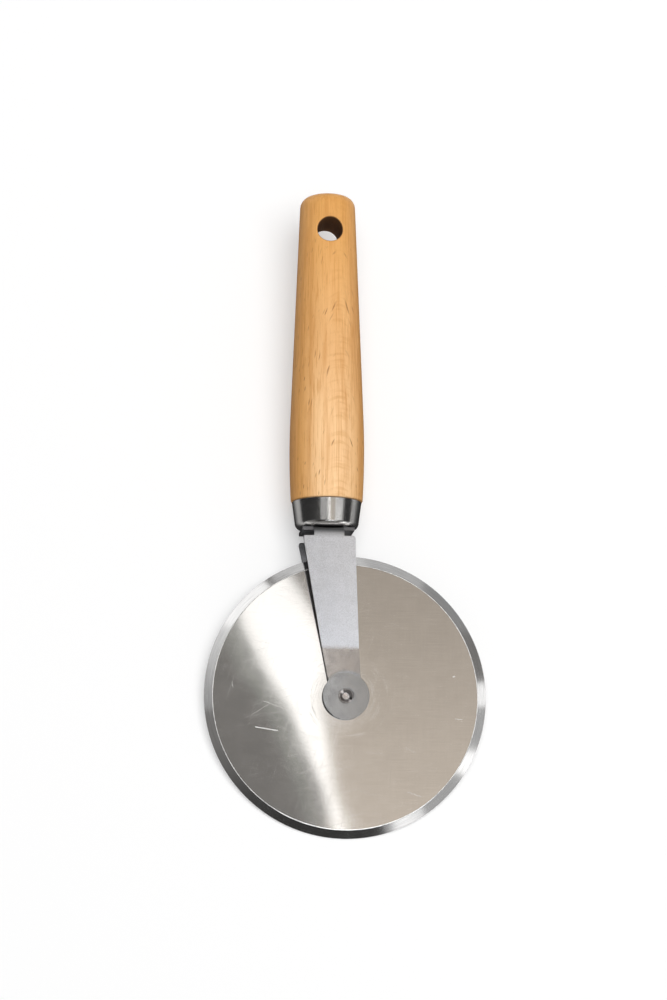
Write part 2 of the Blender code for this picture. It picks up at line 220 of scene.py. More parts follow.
def beside(value, middle):
    """How far a value is from a middle, on either side."""
    return maths("ABSOLUTE", maths("SUBTRACT", value, middle))


def spread(value, low, high, to_low=0.0, to_high=1.0):
    """Stretch a range of values to another range, clamped, with a soft start and end."""
    inputs = {"Value": value, "From Min": low, "From Max": high, "To Min": to_low, "To Max": to_high}
    return add(value.id_data, "MapRange", inputs, interpolation_type="SMOOTHSTEP").outputs[0]


def blended(share, first, second):
    """Mix two colours by a share."""
    return add(share.id_data, "Mix", {"Factor": share, 6: first, 7: second}, data_type="RGBA").outputs[2]


def darker(color, share):
    """A colour with only a share of its light."""
    return [part * share for part in color[:3]] + [1]


# %% [markdown]
# Patterns are drawn in the tool's own frame, in metres. So they keep their real size, and run true along
# the handle although the tool lies tipped. A noise's scale says how many times a metre it changes along
# the tool's X, Y and Z, which makes streaks of it. A pattern can also bend the shading by a real depth.
# %% Places and patterns
def place_in(tree, center=(0, 0, 0), scale=(1, 1, 1)):
    """Coordinates in the tool's own frame, from a chosen point of it, stretched by a scale."""
    coordinates = add(tree, "TexCoord").outputs["Object"]
    inputs = {"Vector": coordinates, "Location": origin, "Rotation": (tip, 0, 0)}
    turn = add(tree, "Mapping", inputs, vector_type="TEXTURE").outputs[0]
    shift = [-middle * factor for middle, factor in zip(center, scale)]
    inputs = {"Vector": turn, "Location": shift, "Scale": scale}
    return add(tree, "Mapping", inputs, vector_type="POINT").outputs[0]


def length_of(vector):
    """Length of a vector in metres."""
    return add(vector.id_data, "VectorMath", {0: vector}, operation="LENGTH").outputs["Value"]


def apart(tree, center=(0, 0, 0)):
    """The X, Y and Z of a place in the tool's own frame, from a chosen point of it."""
    return add(tree, "SeparateXYZ", {"Vector": place_in(tree, center)}).outputs


def from_axis(tree, center):
    """Distance in metres from an axis that runs along the tool's Z through a point."""
    return length_of(place_in(tree, center, (1, 1, 0)))


def noise(tree, where, detail=2.0, roughness=0.5):
    """A soft random pattern between 0 and 1, on coordinates or at a scale in the tool's frame."""
    vector = place_in(tree, scale=where) if isinstance(where, tuple) else where
    inputs = {"Vector": vector, "Scale": 1.0, "Detail": detail, "Roughness": roughness}
    return add(tree, "TexNoise", inputs).outputs[0]


def raised(height, distance, normal=None):
    """Bend the shading by a height pattern, over a real distance in metres."""
    inputs = {"Height": height, "Distance": distance}
    if normal is not None:
        inputs["Normal"] = normal
    return add(height.id_data, "Bump", inputs).outputs[0]


# %% [markdown]
# The handle tapers straight from the butt, rounds off into a belly, and draws in to the neck. One formula
# gives the radius anywhere along it, so the outline and the hanging hole's lip read the same surface.
# %% The handle's outline
BUTT_RADIUS = 0.0098
BELLY_RADIUS = 0.01335
NECK_RADIUS = 0.0128
TENON_RADIUS = 0.0103
BELLY_TO_NECK = 0.0185
STRAIGHT_SHARE = 0.87
BUTT_ROUND = 0.0040
NECK_ROUND = 0.0006
FERRULE_LENGTH = 0.0098
TENON_GAP = 0.0001
HANDLE_STEPS = 144
OUTLINE_STEPS = 60

tenon_end, butt_y = level("handle", "Y")
shoulder_y = FERRULE_LENGTH + TENON_GAP
handle_length = butt_y - shoulder_y


def handle_radius(y):
    """Radius of the handle at a place along it."""
    from_butt = butt_y - y
    belly_at = handle_length - BELLY_TO_NECK
    if from_butt > belly_at:
        return BELLY_RADIUS - (BELLY_RADIUS - NECK_RADIUS) * ((from_butt - belly_at) / BELLY_TO_NECK) ** 2
    share = from_butt / belly_at
    slope = 2 / (1 + STRAIGHT_SHARE)
    if share < STRAIGHT_SHARE:
        return BUTT_RADIUS + (BELLY_RADIUS - BUTT_RADIUS) * slope * share
    rest = (1 - share) ** 2 / (2 * (1 - STRAIGHT_SHARE))
    return BELLY_RADIUS - (BELLY_RADIUS - BUTT_RADIUS) * slope * rest


first = butt_y - BUTT_ROUND - NECK_ROUND
last = shoulder_y + 2 * NECK_ROUND
stations = [first + (last - first) * (step / OUTLINE_STEPS) for step in range(OUTLINE_STEPS + 1)]
outline = [(0, butt_y), (handle_radius(butt_y), butt_y)]
outline += [(handle_radius(y), y) for y in stations]
outline += [(NECK_RADIUS, shoulder_y), (TENON_RADIUS, shoulder_y), (TENON_RADIUS, tenon_end), (0, tenon_end)]
wood = turned(outline, {1: BUTT_ROUND, len(outline) - 4: NECK_ROUND}, HANDLE_STEPS, "Y")
print("handle is", round(handle_length * 1000, 1), "mm long above its shoulder")

# %% [markdown]
# The hanging hole is drilled through the thin end and its edge is sanded round. A Boolean cuts it a little
# too wide and its wall is taken out. The open rims are then extruded inwards along a quarter circle,
# which gives the same soft lip all the way round.
# %% The hanging hole
HOLE_RADIUS = 0.0045
HOLE_FROM_BUTT = 0.0142
HOLE_LIP = 0.0007
HOLE_STEPS = 96
LIP_STEPS = 6
CUTTER_OVERRUN = 0.002


def cut_away(bm, cutter_bm):
    """Cut one shape out of another and return the result as a new bmesh."""
    item = as_object("cut_body", bm)
    cutter = as_object("cut_tool", cutter_bm)
    modifier = item.modifiers.new("cut", "BOOLEAN")
    modifier.operation = "DIFFERENCE"
    modifier.object = cutter
    modifier.solver = "EXACT"
    result = bmesh.new()
    result.from_object(item, bpy.context.evaluated_depsgraph_get())
    bpy.data.objects.remove(item, do_unlink=True)
    bpy.data.objects.remove(cutter, do_unlink=True)
    bmesh.ops.remove_doubles(result, verts=result.verts, dist=MERGE_DISTANCE)
    return result


hole_middle = Vector((0, butt_y - HOLE_FROM_BUTT))
rim_radius = HOLE_RADIUS + HOLE_LIP
drill = bmesh.new()
bmesh.ops.create_cone(
    drill, cap_ends=True, segments=HOLE_STEPS, radius1=rim_radius, radius2=rim_radius,
    depth=2 * (BELLY_RADIUS + CUTTER_OVERRUN),
)
bmesh.ops.translate(drill, verts=drill.verts, vec=(*hole_middle, 0))
wood = cut_away(wood, drill)
inside = rim_radius - MERGE_DISTANCE
wall = [face for face in wood.faces if (face.calc_center_median().xy - hole_middle).length < inside]
bmesh.ops.delete(wood, geom=wall, context="FACES")
rim = [edge for edge in wood.edges if edge.is_boundary]
print("hole rims have", len(rim), "edges")
for step in range(1, LIP_STEPS + 1):
    turn = math.pi / 2 * step / LIP_STEPS
    bmesh.ops.extrude_edge_only(wood, edges=rim)
    rim = [edge for edge in wood.edges if edge.is_boundary]
    for vert in {vert for edge in rim for vert in edge.verts}:
        out = (vert.co.xy - hole_middle).normalized()
        spot = hole_middle + out * (HOLE_RADIUS + HOLE_LIP * (1 - math.sin(turn)))
        surface = math.sqrt(handle_radius(spot.y) ** 2 - spot.x**2)
        depth = surface - HOLE_LIP * (1 - math.cos(turn))
        vert.co = (spot.x, spot.y, math.copysign(depth, vert.co.z))
bmesh.ops.bridge_loops(wood, edges=rim)
bmesh.ops.recalc_face_normals(wood, faces=wood.faces)
print("handle with its hole has", len(wood.faces), "faces")

# %% [markdown]
# Where turning cuts through the year rings, their lines lean inwards up the wood and meet in arcs. That
# could be had from rings in a solid block, but then the arcs' place is left to chance. Here coordinates
# are bent instead, so that any pattern laid on them makes arcs about a chosen line.
# %% Lines that meet in arcs
ARC_MIDDLE = 0.0034
ARC_ROUND = 0.0030
WANDER = 0.0050


def arched(tree, lean, x_scale, slant_scale, along_scale):
    """Coordinates for a pattern whose lines lean inwards up the wood and meet in arcs."""
    spot = apart(tree)
    off = maths("SUBTRACT", spot["X"], ARC_MIDDLE)
    rounded = maths("SQRT", plus(times(off, off), ARC_ROUND**2))
    wander = times(noise(tree, (90, 45, 90), 1.0), WANDER)
    slant = plus(rounded, wander, times(spot["Y"], lean))
    depth = plus(spot["Z"], times(off, x_scale))
    joined = add(tree, "CombineXYZ", {"X": slant, "Y": spot["Y"], "Z": depth}).outputs[0]
    inputs = {"Vector": joined, "Scale": (slant_scale, along_scale, slant_scale)}
    return add(tree, "Mapping", inputs).outputs[0]


# %% [markdown]
# The handle is oiled beech, turned from a straight blank. Three things tell beech from other woods: fine
# straight streaks, faint arcs, and many short dark flecks that follow those arcs. Each is a layer of its
# own over a warm base. A paler stripe down the middle, stronger toward the neck, is a painted sheen.
# The wall of the hanging hole shows dark end grain.
# %% The beech finish
BEECH_WARM = (0.77, 0.385, 0.112, 1)
# The pale colour is a painted sheen, not a colour of the wood.
BEECH_PAINTED_SHEEN = (0.98, 0.64, 0.34, 1)
BEECH_DEEP = (0.58, 0.245, 0.055, 1)
BEECH_FLECK = (0.33, 0.135, 0.040, 1)
END_GRAIN = (0.26, 0.13, 0.055, 1)
# Half width of the painted sheen stripe.
SHEEN_HALF_WIDTH = 0.0125
ARC_REACH = 0.0065
ARC_LEAN = 1.6
FLECK_WIDTH = 0.0008
FLECK_LENGTH = 0.0110
FLECK_LEAN = 0.30
PORE_DEPTH = 0.00004


def make_beech():
    """Oiled beech with streaks, faint arcs and flecks along the handle, and a painted sheen down its middle.
    """
    material, tree = new_finish("oiled_beech")
    fine = noise(tree, (1500, 24, 1500), 3.0)
    broad = noise(tree, (420, 9, 420))
    patches = noise(tree, (70, 24, 70), 1.0)
    dashes = noise(tree, (2300, 90, 2300))
    arcs = noise(tree, arched(tree, ARC_LEAN, 0.0, 430, 40))
    spot = apart(tree)
    off_light = beside(spot["X"], ARC_MIDDLE / 3)
    off_arcs = beside(spot["X"], ARC_MIDDLE)
    # The next lines paint a sheen into the colour: a paler stripe down the middle, stronger toward the neck.
    toward_neck = spread(spot["Y"], butt_y, shoulder_y)
    painted_sheen = times(toward_neck, spread(off_light, SHEEN_HALF_WIDTH, SHEEN_HALF_WIDTH / 3))
    color = blended(painted_sheen, BEECH_WARM, BEECH_PAINTED_SHEEN)

    streaks = plus(times(fine, 0.5), times(broad, 0.5))
    arc_share = times(spread(arcs, 0.46, 0.70, 0.0, 0.30), spread(off_arcs, ARC_REACH, 0.0))
    for share in (
        spread(streaks, 0.43, 0.63, 0.0, 0.46),
        spread(patches, 0.45, 0.75, 0.0, 0.20),
        times(spread(dashes, 0.54, 0.70), spread(off_light, 0.001, 0.008, 0.22, 0.60)),
        times(arc_share, spread(patches, 0.34, 0.58, 0.30, 1.0)),
    ):
        color = blended(share, color, BEECH_DEEP)

    pores = add(tree, "TexVoronoi", {"Vector": place_in(tree, scale=(2900, 330, 2900)), "Scale": 1.0})
    pore = spread(pores.outputs["Distance"], 0.26, 0.08)
    color = blended(times(pore, 0.22), color, BEECH_FLECK)
    cells = arched(tree, FLECK_LEAN, 0.35, 1 / FLECK_WIDTH, 1 / FLECK_LENGTH)
    fleck = add(tree, "TexVoronoi", {"Vector": cells, "Scale": 1.0})
    chosen = spread(add(tree, "SeparateColor", {"Color": fleck.outputs["Color"]}).outputs[0], 0.82, 1.0)
    flecks = times(chosen, spread(fleck.outputs["Distance"], 0.40, 0.10))
    flecks = times(flecks, spread(off_arcs, 0.0010, 0.0024))
    color = blended(times(flecks, 0.85), color, BEECH_FLECK)
    from_hole = from_axis(tree, (0, butt_y - HOLE_FROM_BUTT, 0))
    in_hole = spread(from_hole, HOLE_RADIUS + HOLE_LIP / 2, HOLE_RADIUS)
    height = maths("SUBTRACT", times(fine, 0.6), plus(pore, flecks))
    return wired(material, {
        "Base Color": blended(in_hole, color, END_GRAIN),
        "Roughness": spread(fine, 0.2, 0.8, 0.42, 0.58),
        "Normal": raised(height, PORE_DEPTH),
        "Specular IOR Level": 0.3,
        "Coat Weight": 0.06,
        "Coat Roughness": 0.35,
    })


finish_piece("beech_handle", wood, [make_beech()], "holder", "handle")

# %% [markdown]
# The ferrule is a cup drawn from thin sheet and polished, pressed over the end of the handle. Drawing
# leaves very fine lines along its side and a soft corner at its closed end. It is the most mirror-like
# piece, so its surface carries only a faint ripple and a few rub marks.
# %% The ferrule
FERRULE_RIM_RADIUS = 0.0124
FERRULE_END_RADIUS = 0.0111
FERRULE_CORNER = 0.0019
FERRULE_WALL = 0.0006
FERRULE_LIP = 0.0002
SCREW_HOLE_RADIUS = 0.00215
RIPPLE_DEPTH = 0.00003
DRAWN_LINE_DEPTH = 0.000018


def make_polished_steel():
    """Bright drawn steel with fine lines along the tool and soft rub marks."""
    material, tree = new_finish("polished_ferrule_steel")
    soft = raised(noise(tree, (220, 120, 220)), RIPPLE_DEPTH)
    return wired(material, {
        "Base Color": (0.61, 0.60, 0.585, 1),
        "Metallic": 1.0,
        "Roughness": spread(noise(tree, (700, 500, 700), 4.0, 0.65), 0.35, 0.8, 0.16, 0.26),
        "Normal": raised(noise(tree, (2700, 30, 2700), 3.0), DRAWN_LINE_DEPTH, soft),
    })


cup = turned(
    [
        (SCREW_HOLE_RADIUS, 0),
        (FERRULE_END_RADIUS, 0),
        (FERRULE_RIM_RADIUS, FERRULE_LENGTH),
        (FERRULE_RIM_RADIUS - FERRULE_WALL, FERRULE_LENGTH),
        (FERRULE_END_RADIUS - FERRULE_WALL, FERRULE_WALL),
        (SCREW_HOLE_RADIUS, FERRULE_WALL),
    ],
    {1: FERRULE_CORNER, 2: FERRULE_LIP, 3: FERRULE_LIP, 4: FERRULE_CORNER - FERRULE_WALL},
    HANDLE_STEPS, "Y",
)
finish_piece("drawn_ferrule", cup, [make_polished_steel()], "holder", "ferrule")

# %% [markdown]
# The fork takes the most skill. A flat blank with a narrow neck on each side of its bridge is folded
# twice, so that the bends don't bulge. Each arm leans in to a kink, runs on level, and ends in a round pad
# pressed a little towards the wheel. The middle of the sheet is extruded row by row along that path, and
# Solidify gives it the sheet's thickness.
# %% The fork's heights
SHEET = 0.0012
SHOULDER_DROP = 0.0035
KINK_TO_AXLE = 0.0168
PAD_LEVEL = 0.0020
PAD_STEP = 0.00012

fork_half_depth = level("fork", "Z")[1]
bridge_middle = level("fork", "Y")[1] - SHEET / 2
arm_level = PAD_LEVEL + PAD_STEP
shoulder_top = -SHOULDER_DROP
kink_y = axle_y + KINK_TO_AXLE
print("arms are", round((shoulder_top - axle_y) * 1000, 1), "mm long from the shoulders to the axle")

# %% [markdown]
# From the side, the sheet's middle turns round each bend on one radius. The arm leaves the bend on the
# line that just touches that circle and reaches the kink. The kink is eased over a millimetre or so,
# because sheet steel never folds to a sharp line.
# %% The fold seen from the side
BEND_RADIUS = 0.0010
KINK_REACH = 0.0013

fold_radius = BEND_RADIUS + SHEET / 2
fold_y = bridge_middle - fold_radius
fold_z = fork_half_depth - SHEET - BEND_RADIUS
run = fold_y - kink_y
rise = fold_z - arm_level
arm_lean = math.atan2(rise, run) + math.asin(fold_radius / math.hypot(run, rise))


def arm_height(y):
    """Height of the middle of the arm's sheet over the wheel's middle, along the arm."""
    past = y - kink_y
    slope = math.tan(arm_lean)
    if past >= KINK_REACH:
        return arm_level + slope * past
    if past <= -KINK_REACH:
        return arm_level
    return arm_level + slope * (past + KINK_REACH) ** 2 / (4 * KINK_REACH)


print("arms lean", round(math.degrees(arm_lean), 1), "degrees from the fold to the kink")

# %% [markdown]
# From the front, each arm has square shoulders and tapers, leaning, to its pad. Every row has the same
# columns, as shares of the half width. They bunch up at the rounded shoulders, and two of them fall on the
# neck's edges, so that the neck meets the arm point for point.
# %% The arm seen from the front
FORK_HALF_WIDTH = 0.00925
NECK_HALF_WIDTH = 0.00535
ARM_TIP_HALF_WIDTH = 0.0054
SHOULDER_ROUND = 0.0009
CORNER_COLUMNS = 4

corner_angles = [math.pi / 2 * step / CORNER_COLUMNS for step in range(CORNER_COLUMNS + 1)]
corner_shares = [1 - SHOULDER_ROUND / FORK_HALF_WIDTH * (1 - math.sin(angle)) for angle in corner_angles]
neck_share = NECK_HALF_WIDTH / FORK_HALF_WIDTH
half_shares = [neck_share / 3, neck_share * 2 / 3, neck_share, (neck_share + corner_shares[0]) / 2]
half_shares += corner_shares
arm_shares = [-share for share in reversed(half_shares)] + [0] + half_shares
neck_shares = [share for share in arm_shares if abs(share) <= neck_share + MERGE_DISTANCE]
print("a row of the arm has", len(arm_shares), "points, and one of the neck", len(neck_shares))

# %% [markdown]
# Four edges shape the arm: the two sides, which lean and draw in, the shoulders' rounded top, and the step
# down to the pad. The step follows a circle about the axle, and where a leaning column meets that circle
# has no simple formula, so the place is found by settling on it in a few rounds.
# %% The edges of the arm
PAD_RADIUS = 0.00825
PAD_LAP = 0.0004
SETTLING_STEPS = 20


def arm_x(share, y):
    """Place across the tool of one column of the arm, at a place along it."""
    down = (shoulder_top - y) / (shoulder_top - axle_y)
    half = FORK_HALF_WIDTH + (ARM_TIP_HALF_WIDTH - FORK_HALF_WIDTH) * down
    return axle_x * down + share * half


def shoulder_y_at(share):
    """Top edge of the shoulder, which drops away round its corner."""
    past = max(abs(share) * FORK_HALF_WIDTH - (FORK_HALF_WIDTH - SHOULDER_ROUND), 0)
    return shoulder_top - SHOULDER_ROUND + math.sqrt(SHOULDER_ROUND**2 - min(past, SHOULDER_ROUND) ** 2)


def arm_end(share, radius):
    """Where one column of the arm meets a circle about the axle."""
    y = axle_y + radius
    for _ in range(SETTLING_STEPS):
        y = axle_y + math.sqrt(radius**2 - (arm_x(share, y) - axle_x) ** 2)
    return Vector((arm_x(share, y), y))


def pad_edge(share):
    """Radius at which the arm steps down to its pad: the pad's own rim at the arm's edges."""
    return PAD_RADIUS - PAD_LAP * (1 - share**6)


# %% [markdown]
# One helper lays a sheet: it starts from a row of points and extrudes that row to each row that follows.
# The points of a row can then be set exactly, which sliding and scaling by hand can't do.
# %% Lay a sheet row by row
def lay_rows(bm, rows, closed):
    """Extrude a row of points through a list of rows."""
    row = [bm.verts.new(spot) for spot in rows[0]]
    edges = [bm.edges.new(pair) for pair in zip(row, row[1:] + row[:1] * closed)]
    for spots in rows[1:]:
        made = set(bmesh.ops.extrude_edge_only(bm, edges=edges)["geom"])
        beyond = [{edge.other_vert(vert) for edge in vert.link_edges} & made for vert in row]
        row = [found.pop() for found in beyond]
        for vert, spot in zip(row, spots):
            vert.co = spot
        edges = [bm.edges.get(pair) for pair in zip(row, row[1:] + row[:1] * closed)]


# %% [markdown]
# The arm's rows lie close together where its shape changes: under the shoulders, through the kink, and at
# the step down to the pad. Between those, the strip is straight and a few rows do.
# %% The rows of the arm
PAD_STEP_WIDTH = 0.0014
ARM_ROWS = (0, 0.03, 0.12, 0.3, 0.5, 0.7, 0.88, 1)
KINK_ROWS = (0.5, 0, -0.5, -1)
FLAT_ROWS = (0.3, 0.6, 0.85)
STEP_ROWS = (0, 0.2, 0.4, 0.6, 0.8, 1)


def rows_between(starts, ends, parts):
    """Rows of the arm at shares of the way from one place along the tool to another, for each column."""
    for part in parts:
        places = [start * (1 - part) + end * part for start, end in zip(starts, ends)]
        yield [(arm_x(share, y), y, arm_height(y)) for share, y in zip(arm_shares, places)]


def fork_rows():
    """The rows of one arm, from the shoulders to the edge of the pad."""
    kink_start, kink, kink_end = [[kink_y + KINK_REACH * part] * len(arm_shares) for part in (1, 0, -1)]
    shoulders = [shoulder_y_at(share) for share in arm_shares]
    steps = [arm_end(share, pad_edge(share) + PAD_STEP_WIDTH).y for share in arm_shares]
    rows = [
        *rows_between(shoulders, kink_start, ARM_ROWS),
        *rows_between(kink, kink_start, KINK_ROWS),
        *rows_between(kink_end, steps, FLAT_ROWS),
    ]
    for part in STEP_ROWS:
        radii = [pad_edge(share) + PAD_STEP_WIDTH * (1 - part) for share in arm_shares]
        height = arm_level - PAD_STEP * part**2 * (3 - 2 * part)
        rows.append([(*arm_end(share, radius), height) for share, radius in zip(arm_shares, radii)])
    return rows


# %% [markdown]
# The neck goes round the bend and ends on the shoulders' line. The bridge is flat, and is as wide as the
# arms, but its ends stand back a little from the bend: that is the relief that keeps the fold clean. The
# pad is laid as rings that shrink from its rim to the rivet's hole.
# %% The rows of the bend, the bridge and the pad
RELIEF_SETBACK = 0.0004
BEND_STEPS = 14
RIVET_HOLE_RADIUS = 0.00262
PAD_FREE_STEPS = 44
PAD_ROWS = (0, 0.25, 0.5, 0.75, 0.92, 1)
BRIDGE_ROWS = (0, 0.24, 0.48, 0.75, 1)


def bend_rows():
    """The rows of the neck, from the end of the bridge round the bend to the shoulders."""
    bridge_end = fold_z - RELIEF_SETBACK
    rows = [[(share * FORK_HALF_WIDTH, bridge_middle, bridge_end) for share in neck_shares]]
    for step in range(BEND_STEPS + 1):
        turn = (math.pi / 2 + arm_lean) * step / BEND_STEPS
        y = fold_y + fold_radius * math.cos(turn)
        z = fold_z + fold_radius * math.sin(turn)
        rows.append([(share * FORK_HALF_WIDTH, y, z) for share in neck_shares])
    last = arm_height(shoulder_top)
    rows.append([(share * FORK_HALF_WIDTH, shoulder_top, last) for share in neck_shares])
    return rows


def pad_rows():
    """Rings of the round pad, from its rim to the rivet's hole."""
    arc = [arm_end(share, pad_edge(share)) - Vector((axle_x, axle_y)) for share in arm_shares]
    first = math.atan2(arc[-1].y, arc[-1].x)
    last = math.atan2(arc[0].y, arc[0].x) - math.tau
    for step in range(1, PAD_FREE_STEPS):
        turn = first + (last - first) * step / PAD_FREE_STEPS
        arc.append(Vector((math.cos(turn), math.sin(turn))) * PAD_RADIUS)
    rows = []
    for part in PAD_ROWS:
        radii = [spot.length * (1 - part) + RIVET_HOLE_RADIUS * part for spot in arc]
        spots = [spot.normalized() * radius for spot, radius in zip(arc, radii)]
        rows.append([(axle_x + spot.x, axle_y + spot.y, PAD_LEVEL) for spot in spots])
    return rows


def bridge_rows():
    """Half of the bridge, from its middle to where the necks begin."""
    heights = [(fold_z - RELIEF_SETBACK) * part for part in BRIDGE_ROWS]
    return [[(share * FORK_HALF_WIDTH, bridge_middle, z) for share in arm_shares] for z in heights]


# %% [markdown]
# The four parts of the sheet are laid, joined where their points meet, and mirrored to the other side of
# the wheel. The screw's hole is opened last, because it lies on the mirror's line. Its edge is made by
# extruding the gap inwards to a circle, which leaves no thin faces as a Boolean would.
# %% Lay the fork's sheet
SCREW_HOLE_PATCH = 0.0040


def open_screw_hole(bm):
    """Take out the middle of the bridge, and extrude the gap's edges inwards to the screw's round hole."""
    middle = Vector((0, bridge_middle, 0))
    patch = [face for face in bm.faces if (face.calc_center_median() - middle).length < SCREW_HOLE_PATCH]
    bounds = [edge for edge in bm.edges if sum(face in patch for face in edge.link_faces) == 1]
    bmesh.ops.delete(bm, geom=patch, context="FACES")
    made = bmesh.ops.extrude_edge_only(bm, edges=bounds)["geom"]
    for vert in (item for item in made if isinstance(item, bmesh.types.BMVert)):
        vert.co = middle + (vert.co - middle).normalized() * SCREW_HOLE_RADIUS


blank = bmesh.new()
lay_rows(blank, fork_rows(), False)
lay_rows(blank, bend_rows(), False)
lay_rows(blank, pad_rows(), True)
lay_rows(blank, bridge_rows(), False)
bmesh.ops.remove_doubles(blank, verts=blank.verts, dist=MERGE_DISTANCE)
everything = blank.verts[:] + blank.edges[:] + blank.faces[:]
bmesh.ops.mirror(blank, geom=everything, axis="Z", merge_dist=MERGE_DISTANCE)
open_screw_hole(blank)
bmesh.ops.recalc_face_normals(blank, faces=blank.faces)
print("the fork's sheet has", len(blank.faces), "faces before it is given its thickness")

# %% [markdown]
# The fork was tumbled after shearing, which leaves a bright satin with fine speckles. The press that made
# the kink and the pads has flattened it, so from the kink on the steel is smoother, with faint rings on
# the pads. Its darker colour there is painted reflection, the darker surroundings that those faces mirror.
# The bridge is painted dark, as shade under the ferrule.
# %% The fork's finish
SATIN_COLOR = (0.79, 0.795, 0.83, 1)
SATIN_DULL_COLOR = (0.62, 0.625, 0.65, 1)
# The pressed and pad colours are painted reflection: darker tones that those leaning faces mirror.
PRESSED_PAINTED_REFLECTION = (0.44, 0.415, 0.40, 1)
PAD_PAINTED_REFLECTION = (0.375, 0.38, 0.39, 1)
# Dark colour for the painted shade on the bridge, and for the dark mottling of the pressed steel.
MOTTLE_AND_PAINTED_SHADE_COLOR = (0.15, 0.15, 0.155, 1)
PRESSED_EDGE = 0.0008
PAD_RINGS = 9000
WAVE_DEPTH = 0.00005
SPECKLE_DEPTH = 0.000006
SHEET_EDGE_ROUND = 0.00028
EDGE_SEGMENTS = 3
EDGE_ANGLE = math.radians(60)


def make_satin_steel():
    """Tumbled satin steel, pressed smoother from the kink to the pads, with painted reflection tones there
    and painted shade on the bridge.
    """
    material, tree = new_finish("tumbled_satin_steel")
    clouds = noise(tree, (330, 260, 330), 4.0, 0.6)
    speckle = noise(tree, (3300, 2600, 3300), 2.0, 0.7)
    along = apart(tree)["Y"]
    pressed = spread(along, kink_y + PRESSED_EDGE, kink_y - PRESSED_EDGE)
    # Painted shade: the sheet darkens from the shoulders up to the bridge under the ferrule.
    painted_bridge_shade = spread(along, -SHOULDER_DROP - SHEET, -SHEET, 0.0, 0.85)
    radius = from_axis(tree, axle_spot)
    rings = maths("SINE", times(radius, PAD_RINGS))
    on_pad = spread(radius, PAD_RADIUS + PAD_STEP_WIDTH, PAD_RADIUS)

    mixed = plus(times(clouds, 0.25), times(speckle, 0.75))
    satin = blended(spread(mixed, 0.40, 0.60), SATIN_DULL_COLOR, SATIN_COLOR)
    # Painted reflection: pressed steel and pads take darker colours, with dark mottling over them.
    flat = blended(on_pad, PRESSED_PAINTED_REFLECTION, PAD_PAINTED_REFLECTION)
    flat = blended(spread(clouds, 0.40, 0.66, 0.0, 0.09), flat, MOTTLE_AND_PAINTED_SHADE_COLOR)
    satin_rough = spread(mixed, 0.3, 0.7, 0.30, 0.38)
    pressed_rough = spread(clouds, 0.3, 0.7, 0.20, 0.27)
    grain = times(speckle, maths("SUBTRACT", 1.15, pressed))
    grain = plus(grain, times(rings, on_pad, 0.25))
    soft = raised(noise(tree, (90, 70, 90), 1.0), WAVE_DEPTH)
    return wired(material, {
        "Base Color": blended(painted_bridge_shade, blended(pressed, satin, flat), MOTTLE_AND_PAINTED_SHADE_COLOR),
        "Metallic": 1.0,
        "Roughness": add(tree, "Mix", {"Factor": pressed, 2: satin_rough, 3: pressed_rough}).outputs[0],
        "Normal": raised(grain, SPECKLE_DEPTH, soft),
    })


fork = finish_piece("folded_fork", blank, [make_satin_steel()], "holder", "fork")
thick = fork.modifiers.new("sheet_thickness", "SOLIDIFY")
thick.thickness = SHEET
thick.offset = 0
thick.use_even_offset = True
edge = fork.modifiers.new("sheared_edge", "BEVEL")
edge.width = SHEET_EDGE_ROUND
edge.segments = EDGE_SEGMENTS
edge.limit_method = "ANGLE"
edge.angle_limit = EDGE_ANGLE
even_normals(fork)

# %% [markdown]
# The other small steel pieces are plain bar stock: the rivet that closes the axle, the sleeve and washers
# that keep the wheel free, and the screw that pulls fork and ferrule onto the handle. Their finish is a
# duller steel with the rings that turning leaves.
# %% Plain turned steel
BAR_COLOR = (0.64, 0.61, 0.605, 1)
BAR_WORN_COLOR = (0.50, 0.48, 0.475, 1)
# Colour of the darkened wall in the rivet's front dish.
DISH_WALL_DARK_COLOR = (0.07, 0.06, 0.055, 1)
TURNING_RINGS = 42000
TURNING_DEPTH = 0.0000006
DISH_DARK_RAMP_TOP = 0.001


def make_plain_steel():
    """Dull bar steel with turning rings about the axle, and a darker wall in the rivet's front dish."""
    material, tree = new_finish("plain_turned_steel")
    radius = from_axis(tree, axle_spot)
    rings = maths("SINE", times(radius, TURNING_RINGS))
    # The wall of the rivet's front dish is made darker in colour.
    on_wall = times(spread(radius, 0.00120, 0.00150), spread(radius, 0.00240, 0.00215))
    dish_wall_dark = times(on_wall, spread(apart(tree)["Z"], 0.0, DISH_DARK_RAMP_TOP, 0.0, 0.42))
    wear = noise(tree, (900, 900, 900), 3.0)
    color = blended(spread(wear, 0.3, 0.75), BAR_COLOR, BAR_WORN_COLOR)
    return wired(material, {
        "Base Color": blended(dish_wall_dark, color, DISH_WALL_DARK_COLOR),
        "Metallic": 1.0,
        "Roughness": spread(wear, 0.3, 0.8, 0.17, 0.28),
        "Normal": raised(rings, TURNING_DEPTH),
    })


plain_steel = make_plain_steel()

# %% [markdown]
# The wood screw has a pan head with a cross recess. The head shows between the arms when the tool is seen
# from the side, so the recess is cut for real. The cutter tapers like the punch that makes it: a cross
# laid as two rows, as the fork's sheet is, with its two ends filled.
# %% The screw
SCREW_HEAD_RADIUS = 0.0038
SCREW_HEAD_HEIGHT = 0.0024
SCREW_HEAD_ROUND = 0.0013
SCREW_RADIUS = 0.0020
SCREW_POINT = 0.0040
SMALL_STEPS = 64
CROSS_REACH = 0.0020
CROSS_HALF_WIDTH = 0.00045
CROSS_DEPTH = 0.0015
CROSS_TURN = math.radians(20)
CROSS_FLOOR_SHARES = (0.6, 0.7)

